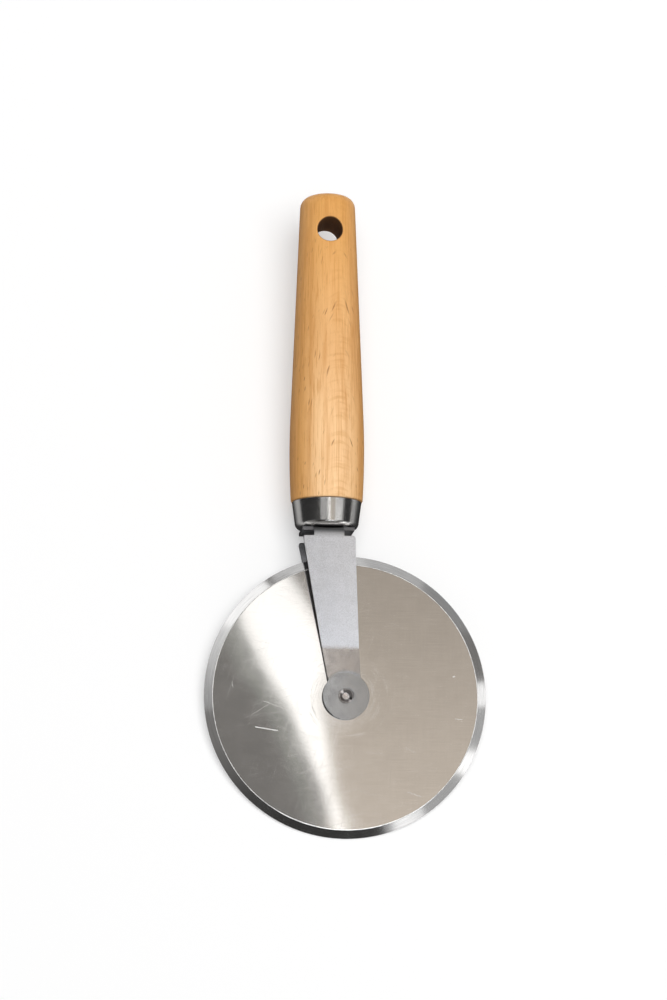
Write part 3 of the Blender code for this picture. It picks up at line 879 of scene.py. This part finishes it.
head_y, point_y = level("tang_screw", "Y")
head_seat = head_y + SCREW_HEAD_HEIGHT
screw_shape = turned(
    [
        (0, head_y),
        (SCREW_HEAD_RADIUS, head_y),
        (SCREW_HEAD_RADIUS, head_seat),
        (SCREW_RADIUS, head_seat),
        (SCREW_RADIUS, point_y - SCREW_POINT),
        (0, point_y),
    ],
    {1: SCREW_HEAD_ROUND}, SMALL_STEPS, "Y",
)
ends = []
for depth, (long_share, wide_share) in ((-CROSS_DEPTH, (1, 1)), (CROSS_DEPTH, CROSS_FLOOR_SHARES)):
    reach_out, half = CROSS_REACH * long_share, CROSS_HALF_WIDTH * wide_share
    corners = [Vector((reach_out, 0, half)), Vector((reach_out, 0, -half)), Vector((half, 0, -half))]
    turns = [Matrix.Rotation(CROSS_TURN + math.pi / 2 * quarter, 3, "Y") for quarter in range(4)]
    ends.append([turn @ corner + Vector((0, head_y + depth, 0)) for turn in turns for corner in corners])
punch = bmesh.new()
lay_rows(punch, ends, True)
bmesh.ops.holes_fill(punch, edges=punch.edges[:])
bmesh.ops.recalc_face_normals(punch, faces=punch.faces)
screw_shape = cut_away(screw_shape, punch)
finish_piece("wood_screw", screw_shape, [plain_steel], "holder", "tang_screw")

# %% [markdown]
# The rivet has a dome behind and a dished, flared end in front, as the closing tool leaves it. Both are
# part of one outline, turned about the axle. The dome is the cap of a ball, whose radius follows from the
# head's own radius and height.
# %% The rivet
RIVET_RADIUS = 0.0020
RIVET_HEAD_RADIUS = 0.0038
RIVET_HEAD_HEIGHT = 0.0013
RIVET_FLARE_RADIUS = 0.0025
RIVET_FLARE_DEPTH = 0.0007
RIVET_DISH_RADIUS = 0.00235
RIVET_DISH_FLOOR_RADIUS = 0.0013
RIVET_DISH_DEPTH = 0.0009
RIVET_LIP_ROUND = 0.00005
RIVET_RIM_ROUND = 0.00004
RIVET_FLOOR_ROUND = 0.00025
DOME_STEPS = 10

rivet_back, rivet_front = level("axle_rivet", "Z")
dome_seat = rivet_back + RIVET_HEAD_HEIGHT
dome_radius = (RIVET_HEAD_RADIUS**2 + RIVET_HEAD_HEIGHT**2) / (2 * RIVET_HEAD_HEIGHT)
dome_angle = math.asin(RIVET_HEAD_RADIUS / dome_radius)
dome_turns = [dome_angle * step / DOME_STEPS for step in range(DOME_STEPS + 1)]
dome_top = rivet_back + dome_radius
dome = [(dome_radius * math.sin(turn), dome_top - dome_radius * math.cos(turn)) for turn in dome_turns]
rivet_outline = dome + [
    (RIVET_RADIUS, dome_seat),
    (RIVET_RADIUS, rivet_front - RIVET_FLARE_DEPTH),
    (RIVET_FLARE_RADIUS, rivet_front),
    (RIVET_DISH_RADIUS, rivet_front),
    (RIVET_DISH_FLOOR_RADIUS, rivet_front - RIVET_DISH_DEPTH),
    (0, rivet_front - RIVET_DISH_DEPTH),
]
count = len(dome)
rivet_rounds = {count + 2: RIVET_LIP_ROUND, count + 3: RIVET_RIM_ROUND, count + 4: RIVET_FLOOR_ROUND}


def turned_at_axle(corners, rounds, steps):
    """Turn a shape about the axle."""
    bm = turned(corners, rounds, steps, "Z")
    bmesh.ops.translate(bm, verts=bm.verts, vec=axle_spot)
    return bm


rivet_shape = turned_at_axle(rivet_outline, rivet_rounds, SMALL_STEPS)
finish_piece("dished_rivet", rivet_shape, [plain_steel], "holder", "axle_rivet")

# %% [markdown]
# A sleeve on the rivet keeps the two pads apart, so closing the rivet doesn't clamp the wheel, and a
# washer fills the gap on each side of the wheel. All three are rings with softened edges, so one loop
# turns them.
# %% The sleeve and the washers
RING_EDGE = 0.00008
BUSH_RADIUS = 0.0030
WASHER_RADIUS = 0.0060
RUNNING_GAP = 0.0001

for name, solid, outer, inner in (
    ("axle_sleeve", "axle_bush", BUSH_RADIUS, RIVET_RADIUS + RUNNING_GAP),
    ("washer_front", "front_washer", WASHER_RADIUS, BUSH_RADIUS + RUNNING_GAP),
    ("washer_rear", "rear_washer", WASHER_RADIUS, BUSH_RADIUS + RUNNING_GAP),
):
    low, high = level(solid, "Z")
    corners = [(inner, low), (outer, low), (outer, high), (inner, high)]
    ring = turned_at_axle(corners, dict.fromkeys(range(4), RING_EDGE), SMALL_STEPS)
    finish_piece(name, ring, [plain_steel], "holder", solid)


# %% [markdown]
# The wheel is a flat disc, brushed one way and then ground to an edge from both sides. Brushed steel
# smears reflections square to its lines. A UV map called grain tells the shader which way they run: across
# the flat faces, and round the rim on the bevel.
# %% The wheel's shape
BEVEL_WIDTH = 0.0030
EDGE_THICKNESS = 0.0002
BEVEL_CREASE = 0.00025
CUTTING_EDGE_ROUND = 0.00003
WHEEL_STEPS = 288

wheel_left, wheel_right = level("cutting_wheel", "X")
wheel_radius = (wheel_right - wheel_left) / 2
wheel_half = level("cutting_wheel", "Z")[1]
ground_radius = wheel_radius - BEVEL_WIDTH
bore_radius = BUSH_RADIUS + RUNNING_GAP
edge_rounds = [RING_EDGE, BEVEL_CREASE, CUTTING_EDGE_ROUND]
wheel_shape = turned(
    [
        (bore_radius, -wheel_half),
        (ground_radius, -wheel_half),
        (wheel_radius, -EDGE_THICKNESS / 2),
        (wheel_radius, EDGE_THICKNESS / 2),
        (ground_radius, wheel_half),
        (bore_radius, wheel_half),
    ],
    dict(enumerate(edge_rounds + edge_rounds[::-1])),
    WHEEL_STEPS, "Z",
)
grain = wheel_shape.loops.layers.uv.new("grain")
for face in wheel_shape.faces:
    middle = face.calc_center_median()
    past = middle.xy.length - ground_radius
    on_bevel = past > 0
    face.material_index = 2 if abs(past) < BEVEL_CREASE / 2 else int(on_bevel)
    facing = math.atan2(middle.y, middle.x)
    for loop in face.loops:
        spot = loop.vert.co
        turn = math.remainder(math.atan2(spot.y, spot.x) - facing, math.tau) + facing
        round_rim = (turn * wheel_radius, spot.xy.length)
        loop[grain].uv = round_rim if on_bevel else (spot.x, spot.y)
bmesh.ops.translate(wheel_shape, verts=wheel_shape.verts, vec=axle_spot)
print("wheel is", round(wheel_radius * 2000, 1), "mm across")

# %% [markdown]
# A wheel that has been handled carries scratches and hairlines. A painted picture would do for them, but
# it would have to be very large to stay sharp. So each scratch is worked out as the distance to a line
# between two points, and the hairlines are a noise stretched until only long thin streaks are left.
# %% Scratches and hairlines
SCRATCHES = [
    ((-0.0318, -0.0112), (-0.0240, -0.0124), 0.00022, 0.90),
    ((0.0390, -0.0074), (0.0414, -0.0076), 0.00016, 0.35),
    ((0.0383, 0.0075), (0.0387, 0.0077), 0.00030, 0.55),
    ((0.0222, -0.0335), (0.0268, -0.0350), 0.00016, 0.30),
    ((-0.0292, -0.0020), (-0.0216, -0.0046), 0.00014, 0.26),
    ((-0.0330, -0.0068), (-0.0270, -0.0030), 0.00012, 0.20),
    ((0.0214, -0.0178), (0.0246, -0.0196), 0.00014, 0.22),
    ((-0.0402, 0.0044), (-0.0398, 0.0026), 0.00016, 0.30),
    ((0.0080, -0.0198), (0.0132, -0.0200), 0.00012, 0.20),
]
HAIRLINE_WAYS = ((14, 1.7), (-22, 3.1), (71, 5.3))


def scratch_line(tree, spot, start, end, width, depth):
    """How far a scratch between two points covers a place: its depth on its line, 0 beside it."""
    first = Vector((*start, 0))
    run = Vector((*end, 0)) - first
    away = add(tree, "VectorMath", {0: spot, 1: first}, operation="SUBTRACT").outputs[0]
    inputs = {0: away, 1: run / run.length_squared}
    dot = add(tree, "VectorMath", inputs, operation="DOT_PRODUCT").outputs["Value"]
    share = maths("ADD", dot, 0.0, clamp=True)
    nearest = add(tree, "VectorMath", {0: run, 3: share}, operation="SCALE").outputs[0]
    gap = add(tree, "VectorMath", {0: away, 1: nearest}, operation="DISTANCE").outputs["Value"]
    return spread(gap, width, width / 3, 0.0, depth)


def hairlines(tree, degrees, seed):
    """Sparse, very thin lines that all run about one way."""
    inputs = {"Vector": place_in(tree, axle_spot, (1, 1, 0)), "Location": (0, 0, seed),
              "Rotation": (0, 0, math.radians(degrees)), "Scale": (1 / 70, 1 / 4200, 1)}
    lines = noise(tree, add(tree, "Mapping", inputs, vector_type="TEXTURE").outputs[0], 1.0)
    return spread(lines, 0.66, 0.76)


# %% [markdown]
# The flat face was rolled smooth and brushed one way. Fine brush lines, dull smudges, curls and a dull
# ring where the pad rubs each have their own pattern. They change the roughness more than the colour,
# because on polished metal dirt and wear show as a change of gloss before they show as a colour.
# %% The wheel's flat face
FACE_COLOR = (0.63, 0.61, 0.585, 1)
# Pale colour of scratches, and of the painted highlight on the burr line.
SCRATCH_AND_HIGHLIGHT_COLOR = (0.93, 0.92, 0.90, 1)
CURL_FOOT = 0.0200
CURL_TOP = 0.0100
RUB_REACH = 0.0150
BRUSH_DEPTH = 0.0000004
ROLLING_DEPTH = 0.0000016


def make_rolled_face():
    """Smooth rolled steel with faint lines across it, lightly smudged and scratched."""
    material, tree = new_finish("rolled_wheel_steel")
    flat = place_in(tree, axle_spot, (1, 1, 0))
    spot = add(tree, "SeparateXYZ", {"Vector": flat}).outputs
    radius = length_of(flat)
    smudges = noise(tree, (110, 110, 1), 4.0, 0.6)
    grain = times(noise(tree, (90, 3600, 1), 3.0, 0.6), 0.7)
    grain = plus(grain, times(noise(tree, (2400, 60, 1), 2.0, 0.6), 0.3))

    curl = {"X": times(radius, 3000), "Y": times(spot["X"], 130), "Z": times(spot["Y"], 130)}
    curls = spread(noise(tree, add(tree, "CombineXYZ", curl).outputs[0], 1.0), 0.58, 0.74)
    curls = times(curls, spread(radius, CURL_FOOT, CURL_TOP, 0.0, 0.22))
    hairs = maths("MAXIMUM", *[hairlines(tree, *way) for way in HAIRLINE_WAYS])
    lines = [scratch_line(tree, flat, *scratch) for scratch in SCRATCHES]
    scratched = maths("MAXIMUM", *lines, times(hairs, 0.10), curls)

    shade = spread(plus(grain, times(smudges, 0.5)), 0.55, 0.95)
    color = blended(shade, darker(FACE_COLOR, 0.93), FACE_COLOR)
    dull = plus(spread(smudges, 0.3, 0.8, 0.06, 0.085), times(grain, 0.02))
    dull = plus(dull, spread(radius, RUB_REACH, PAD_RADIUS, 0.0, 0.03))
    brushed = raised(grain, BRUSH_DEPTH)
    return wired(material, {
        "Base Color": blended(scratched, color, SCRATCH_AND_HIGHLIGHT_COLOR),
        "Metallic": maths("SUBTRACT", 1.0, times(scratched, 0.6)),
        "Anisotropic": 0.3,
        "Roughness": plus(dull, times(scratched, 0.6)),
        "Tangent": add(tree, "Tangent", direction_type="UV_MAP", uv_map="grain").outputs[0],
        "Normal": raised(noise(tree, (160, 700, 1), 3.0), ROLLING_DEPTH, brushed),
    })


# %% [markdown]
# The bevel was ground on a stone, which leaves fine marks round the rim and a brighter steel. Where it
# begins, a line as fine as a hair is painted near white as a highlight on the crease. The wheel's mesh
# already tells the three apart by material number, so each gets a finish of its own.
# %% The bevel and its painted burr highlight
BEVEL_COLOR = (0.64, 0.635, 0.63, 1)


def make_ground_bevel():
    """Bright ground steel with fine marks that run round the rim."""
    material, tree = new_finish("ground_bevel_steel")
    around = add(tree, "UVMap", uv_map="grain").outputs[0]
    marks, slow = [
        noise(tree, add(tree, "Mapping", {"Vector": around, "Scale": (*scale, 1)}).outputs[0])
        for scale in ((130, 4200), (120, 10))
    ]
    return wired(material, {
        "Base Color": blended(spread(marks, 0.3, 0.7), darker(BEVEL_COLOR, 0.86), BEVEL_COLOR),
        "Metallic": 1.0,
        "Anisotropic": 0.2,
        "Anisotropic Rotation": 0.25,
        "Roughness": spread(slow, 0.3, 0.8, 0.08, 0.12),
        "Tangent": add(tree, "Tangent", direction_type="UV_MAP", uv_map="grain").outputs[0],
    })


def make_painted_burr_highlight():
    """A painted highlight: a near-white, barely metallic line where the bevel begins."""
    material, tree = new_finish("burr_painted_highlight")
    uneven = spread(noise(tree, (700, 700, 700)), 0.3, 0.6)
    return wired(material, {
        "Base Color": blended(uneven, darker(SCRATCH_AND_HIGHLIGHT_COLOR, 0.6), SCRATCH_AND_HIGHLIGHT_COLOR),
        "Metallic": 0.25,
        "Roughness": 0.5,
    })


wheel_finishes = [make_rolled_face(), make_ground_bevel(), make_painted_burr_highlight()]
finish_piece("ground_wheel", wheel_shape, wheel_finishes, "wheel", "cutting_wheel")

# %% [markdown]
# The floor is a plain white sheet. Camera rays, and rays that bounce off metal, see a little light added
# to it, so that it stays white while the tool's soft shadow still shows. More is added far away, where the
# lamp hardly reaches.
# %% The floor
FLOOR_SIZE = 6.0
FLOOR_DROP = 0.0002
FLOOR_WHITE = (0.60, 0.60, 0.60, 1)
FLOOR_GLOW = 0.38
FLOOR_FAR_GLOW = 0.82
FLOOR_FAR = 2.0


def seen_directly(tree):
    """1 for rays from the camera and for reflected or passed rays, 0 for the light that fills a scene."""
    path = add(tree, "LightPath").outputs
    looks = plus(path["Is Camera Ray"], path["Is Glossy Ray"])
    return maths("ADD", looks, path["Is Transmission Ray"], clamp=True)


def make_floor_finish():
    """Matt white that reads as white paper."""
    material, tree = new_finish("white_floor")
    glow = spread(from_axis(tree, (0, 0, 0)), 0.0, FLOOR_FAR, FLOOR_GLOW, FLOOR_FAR_GLOW)
    return wired(material, {
        "Base Color": FLOOR_WHITE,
        "Roughness": 1.0,
        "Specular IOR Level": 0.0,
        "Emission Color": (1, 1, 1, 1),
        "Emission Strength": times(seen_directly(tree), glow),
    })


floor_shape = bmesh.new()
bmesh.ops.create_grid(floor_shape, x_segments=1, y_segments=1, size=FLOOR_SIZE / 2)
bmesh.ops.translate(floor_shape, verts=floor_shape.verts, vec=(0, 0, -FLOOR_DROP))
floor = as_object("floor", floor_shape, make_floor_finish())
print("floor is", FLOOR_SIZE, "m across")

# %% [markdown]
# The room itself is white all round. It fills the shadows with even light, and gives the camera a white
# background in every view.
# %% The room
ROOM_FILL = 0.28
world = bpy.data.worlds.new("room")
bpy.context.scene.world = world
world.use_nodes = True
room = world.node_tree
white = plus(times(seen_directly(room), 1 - ROOM_FILL), ROOM_FILL)
feed(room.nodes["Background"].inputs["Color"], (1, 1, 1, 1))
feed(room.nodes["Background"].inputs["Strength"], white)
print("room fills the shadows with", ROOM_FILL, "of its white")

# %% [markdown]
# Polished metal has no colour of its own to speak of: it shows what stands round it. So a photographer
# builds surroundings for it, and keeps them out of the picture. Here they are surfaces that only glow, and
# that only reflections see, so they neither show nor light the tool or shade it.
# %% Surroundings for reflections
def reflected_only(item):
    """Hide a card from everything but reflections."""
    for kind in ("camera", "diffuse", "shadow", "transmission", "volume_scatter"):
        setattr(item, "visible_" + kind, False)
    print(item.name, "shows only in reflections")


def glow_finish(name, color, light):
    """A surface that only glows, as strongly as a function of its node tree says."""
    material, tree = new_finish(name)
    glow = add(tree, "Emission", {"Color": (*color, 1), "Strength": light(tree)})
    tree.links.new(glow.outputs[0], tree.nodes["Material Output"].inputs[0])
    return material


# %% [markdown]
# A dim tent stands over everything and gives the metal its dark side. It is half a ball, grey overhead and
# at the horizon. A dark stripe on the left and one beyond the wheel darken the steel where the photograph
# shows it dark.
# %% The dim tent
TENT_RADIUS = 0.9
TENT_COLOR = (1.0, 0.975, 0.95)
TENT_STRIPES = (("Y", -0.66, -0.24, 0.02, 0.9), ("X", -0.70, -0.46, -0.36, 1.4))
STRIPE_DARK = 0.12
STRIPE_FADE = 0.14


def tent_light(tree):
    """Grey overhead and at the horizon, with a dark stripe on the left and another beyond the wheel."""
    away = place_in(tree, axle_spot)
    unit = add(tree, "VectorMath", {0: away}, operation="NORMALIZE").outputs[0]
    way = add(tree, "SeparateXYZ", {"Vector": unit}).outputs
    light = spread(way["Z"], 0.35, 0.75, 0.0, 0.25)
    for axis, far, dark, bright, outer in TENT_STRIPES:
        inside = spread(way[axis], dark, bright, STRIPE_DARK, 1.0)
        outside = spread(way[axis], far + STRIPE_FADE, far, 0.0, outer)
        light = times(light, plus(inside, outside))
    return plus(light, spread(way["Z"], 0.75, 0.20, 0.025, 0.36))


tent_shape = bmesh.new()
bmesh.ops.create_uvsphere(tent_shape, u_segments=64, v_segments=32, radius=TENT_RADIUS)
bmesh.ops.bisect_plane(
    tent_shape, geom=tent_shape.verts[:] + tent_shape.edges[:] + tent_shape.faces[:],
    plane_co=(0, 0, 0), plane_no=(0, 0, -1), clear_outer=True,
)
reflected_only(as_object("dim_tent", tent_shape, glow_finish("tent_glow", TENT_COLOR, tent_light)))

# %% [markdown]
# Bright cards shine in from above, as a photographer's do. Each is one flat face. Its light can change
# along the tool, and it can fade towards its rim, so that it leaves no hard shape in the wheel. Corners are
# measured from the axle, because the wheel is what mirrors the cards.
# %% A helper for cards
CARD_HEIGHT = 0.25
CARD_CLOTH = (1.0, 1.0, 1.0)


def rectangle(left, near, right, far):
    """Corners of a rectangle, near being its end by the wheel."""
    return [(left, near), (right, near), (right, far), (left, far)]


def centered_sheet(width, length):
    """Corners of a flat rectangle about the middle of a frame."""
    return [(x, y, 0) for x, y in rectangle(-width / 2, -length / 2, width / 2, length / 2)]


def panel(name, corners, light, color=CARD_CLOTH, place=tool):
    """A glowing sheet that only reflections see, drawn in the tool's frame or in one of its own."""
    bm = bmesh.new()
    bm.faces.new([bm.verts.new(corner) for corner in corners])
    bmesh.ops.transform(bm, matrix=place, verts=bm.verts)
    reflected_only(as_object(name, bm, glow_finish(name + "_glow", color, light)))


def card(name, corners, low_light, high_light=None, color=CARD_CLOTH, drop=0.0, rim=None):
    """A glowing card over the wheel, brighter or dimmer towards the handle."""
    sides = [(axis, min(values), max(values)) for axis, values in zip("XY", zip(*corners))]

    def light(tree):
        place = apart(tree, axle_spot)
        strength = spread(place["Y"], *sides[1][1:], low_light, high_light or low_light)
        for axis, low, high in sides if rim else ():
            edges = spread(place[axis], low, low + rim), spread(place[axis], high, high - rim)
            strength = times(strength, *edges)
        return strength

    spots = [(axle_x + x, axle_y + y, CARD_HEIGHT - drop) for x, y in corners]
    panel(name + "_card", spots, light, color)


# %% [markdown]
# The cards hang a quarter of a metre over the wheel, parallel to it. Its flat face mirrors the middle of
# them, its bevel a ring round that, and the ferrule the gaps between. The window is the bright streak down
# the wheel, with a haze beside it. The others tint the rest of the face and the bevel, stretch by stretch.
# %% The cards
WINDOW = [
    (0.0225, -0.0310), (0.0170, -0.0111), (0.0097, 0.0062), (0.0026, 0.0235), (-0.0089, 0.0409),
    (-0.0178, 0.0583), (-0.0236, 0.0732), (-0.0303, 0.0850), (-0.0071, 0.0960), (0.0063, 0.0765),
    (0.0169, 0.0589), (0.0205, 0.0414), (0.0170, 0.0237), (0.0193, 0.0063), (0.0222, -0.0110),
    (0.0290, -0.0330),
]
HAZE_SHIFT = 0.010
WARM = [(0.020, -0.036), (0.098, -0.036), (0.098, 0.100), (0.006, 0.100), (0.018, 0.045)]
CORNER_FILL = [(0.120, 0.020), (0.062, -0.080), (0.075, -0.125), (0.215, -0.060), (0.215, 0.020)]
card("window", WINDOW, 2.3, 1.75, drop=0.002)
card("haze", [(x - HAZE_SHIFT, y) for x, y in WINDOW], 0.40, color=(0.97, 1.0, 0.95), drop=-0.002)
card("warm", WARM, 0.84, 0.56, color=(1.0, 0.90, 0.79))
card("cool", rectangle(-0.037, -0.076, 0.107, -0.032), 4.4, color=(0.93, 0.96, 1.0), rim=0.020)
card("left", [(-0.130, 0.015), (-0.088, 0.015), (-0.078, 0.100), (-0.130, 0.100)], 0.50, 1.0)
card("left_corner", [(-0.110, 0.100), (-0.070, 0.092), (-0.038, 0.135), (-0.075, 0.165)], 1.55)
card("left_inner", rectangle(-0.078, 0.015, -0.046, 0.085), 0.7)
card("right", rectangle(0.106, 0.000, 0.134, 0.095), 1.3)
card("right_ring", [(0.145, 0.022), (0.215, 0.026), (0.215, 0.056), (0.145, 0.046)], 1.5)
card("corner", [(0.136, -0.020), (0.124, -0.040), (0.176, -0.052), (0.186, -0.022)], 1.8)
card("low_corner", [(0.074, -0.082), (0.104, -0.072), (0.112, -0.112), (0.078, -0.121)], 1.5)
card("corner_fill", CORNER_FILL, 0.58, drop=-0.004)
card("far", [(0.090, 0.112), (0.260, 0.085), (0.260, 0.205), (0.090, 0.205)], 0.40)
card("far_left", rectangle(-0.045, 0.148, 0.052, 0.205), 0.85)
card("far_middle", [(0.050, 0.148), (0.110, 0.135), (0.110, 0.205), (0.050, 0.205)], 0.68, drop=0.002)
card("far_right", rectangle(0.220, -0.02, 0.300, 0.12), 0.9)

# %% [markdown]
# A striped mat lies under the ferrule and the handle: black next to them, grey further out, and black
# again beyond. It gives the ferrule's sides soft dark and light bands in place of one flat white. The
# stripe on the right is wider and starts further out. A stripe is written as four places across the tool:
# where it begins, where it is full, where it ends, and where it starts to fade.
# %% The striped mat
MAT_WIDTH = 0.70
MAT_LENGTH = 0.175
MAT_MIDDLE = 0.040
MAT_RISE = 0.0004
MAT_DARK = 0.035
MAT_GREY = 0.50
MAT_STRIPES = ((-0.015, -0.036, -0.100, -0.050), (0.022, 0.100, 0.300, 0.130))


def mat_light(tree):
    """Black, then grey, then black, going away from the handle on either side."""
    across = apart(tree)["X"]
    bands = [
        times(spread(across, foot, full), spread(across, end, fade))
        for foot, full, end, fade in MAT_STRIPES
    ]
    return plus(times(plus(*bands), MAT_GREY), MAT_DARK)


mat_place = Matrix.Translation((handle_middle, MAT_MIDDLE, MAT_RISE))
panel("striped_mat", centered_sheet(MAT_WIDTH, MAT_LENGTH), mat_light, place=mat_place)

# %% [markdown]
# A black flag stands on each side of the ferrule and keeps the grey horizon out of its sides, which gives
# polished steel its deep tones. Its end by the wheel fades into the tent's grey, so that the wheel doesn't
# mirror a hard black edge.
# %% The flags
FLAG_DISTANCE = 0.100
FLAG_FAR = 0.085
FLAG_DARK = 0.035
FLAG_FADED = 0.24
FLAG_FADE = 0.030


def flag(name, x, near, foot, top):
    """A dark panel on edge beside the tool."""
    spots = [(x, y, z) for y, z in rectangle(near, foot, FLAG_FAR, top)]
    panel(name, spots, lambda tree: spread(apart(tree)["Y"], near, near + FLAG_FADE, FLAG_FADED, FLAG_DARK))


flag("left_flag", -FLAG_DISTANCE, -0.034, -0.005, 0.135)
flag("right_flag", FLAG_DISTANCE, -0.040, 0.014, 0.075)

# %% [markdown]
# Two upright cards stand far off, at opposite corners. Edges, the rivet's dish and the screw's recess
# catch them as small bright glints. They fade towards their ends, so that a flat face that mirrors one
# from the side shows a soft sheen and no hard white shape.
# %% The standing cards
STANDING_DISTANCE = 0.55
STANDING_WIDTH = 0.34
STANDING_HEIGHT = 0.16
STANDING_FOOT = 0.05
STANDING_CORE = 0.05
STANDING_END = 0.19


def standing_card(name, degrees):
    """An upright card that faces the tool from one side of the room."""
    turn = Matrix.Rotation(math.radians(degrees), 4, "Z")
    middle = axle + turn @ Vector((STANDING_DISTANCE, 0, STANDING_FOOT + STANDING_HEIGHT / 2))

    def light(tree):
        off = length_of(place_in(tree, tool.inverted() @ middle))
        return spread(off, STANDING_CORE, STANDING_END, 2.2, 0.25)

    place = Matrix.Translation(middle) @ turn @ Matrix.Rotation(math.pi / 2, 4, "Y")
    panel(name, centered_sheet(STANDING_HEIGHT, STANDING_WIDTH), light, place=place)


standing_card("back_left_card", 128)
standing_card("front_right_card", -38)

# %% [markdown]
# One large soft lamp hangs nearly overhead and gives the wood its light middle and darker sides, helped by
# the painted sheen in the wood's colour. Its size keeps the shadow soft and narrow. Reflections don't see
# it, because the cards are there for that.
# %% The lamp
LAMP_PLACE = (0.12, 0.05, 1.3)
LAMP_SIZE = 1.0
LAMP_POWER = 15.5

lamp_data = bpy.data.lights.new("overhead_lamp", "AREA")
lamp_data.size = LAMP_SIZE
lamp_data.energy = LAMP_POWER
lamp = placed("overhead_lamp", lamp_data)
lamp.location = LAMP_PLACE
lamp.rotation_euler = (-Vector(LAMP_PLACE)).to_track_quat("-Z", "Y").to_euler()
lamp.visible_glossy = False
print("lamp hangs", LAMP_PLACE[2], "m above the floor")

# %% [markdown]
# The camera stands where the photographer stood, almost straight above, a little towards the wheel and to
# the left. Its place is given from the axle: the axle's pixel, the scale at the axle, and how far away it
# is, counted in pixels. The focal length then follows from the same distance.
# %% The camera
PHOTO_WIDTH = 667
PHOTO_HEIGHT = 1000
AXLE_PIXEL = (345.5, 696.6)
METRES_PER_PIXEL = 0.0003526
DISTANCE_PIXELS = 3000
CAMERA_PITCH = math.radians(10.5)
CAMERA_YAW = math.radians(-6.0)
CAMERA_ROLL = math.radians(0.16)
SENSOR = 36

camera_data = bpy.data.cameras.new("camera")
camera_data.sensor_width = SENSOR
camera_data.lens = SENSOR * DISTANCE_PIXELS / PHOTO_HEIGHT
camera = placed("camera", camera_data)
turn = Matrix.Rotation(CAMERA_YAW, 4, "Y") @ Matrix.Rotation(CAMERA_PITCH, 4, "X")
turn = turn @ Matrix.Rotation(CAMERA_ROLL, 4, "Z")
axle_seen = Vector((AXLE_PIXEL[0] - PHOTO_WIDTH / 2, PHOTO_HEIGHT / 2 - AXLE_PIXEL[1], -DISTANCE_PIXELS))
back_off = Matrix.Translation(-axle_seen * METRES_PER_PIXEL)
stand = Matrix.Translation(Vector(axle_spot)) @ turn @ back_off
camera.matrix_world = tool @ stand
bpy.context.scene.camera = camera
print("camera stands", round(camera.location.z, 3), "m above the floor")

# %% [markdown]
# The view transform is set to Standard, so colours come out as they are written.
# %% The view transform
bpy.context.scene.view_settings.view_transform = "Standard"
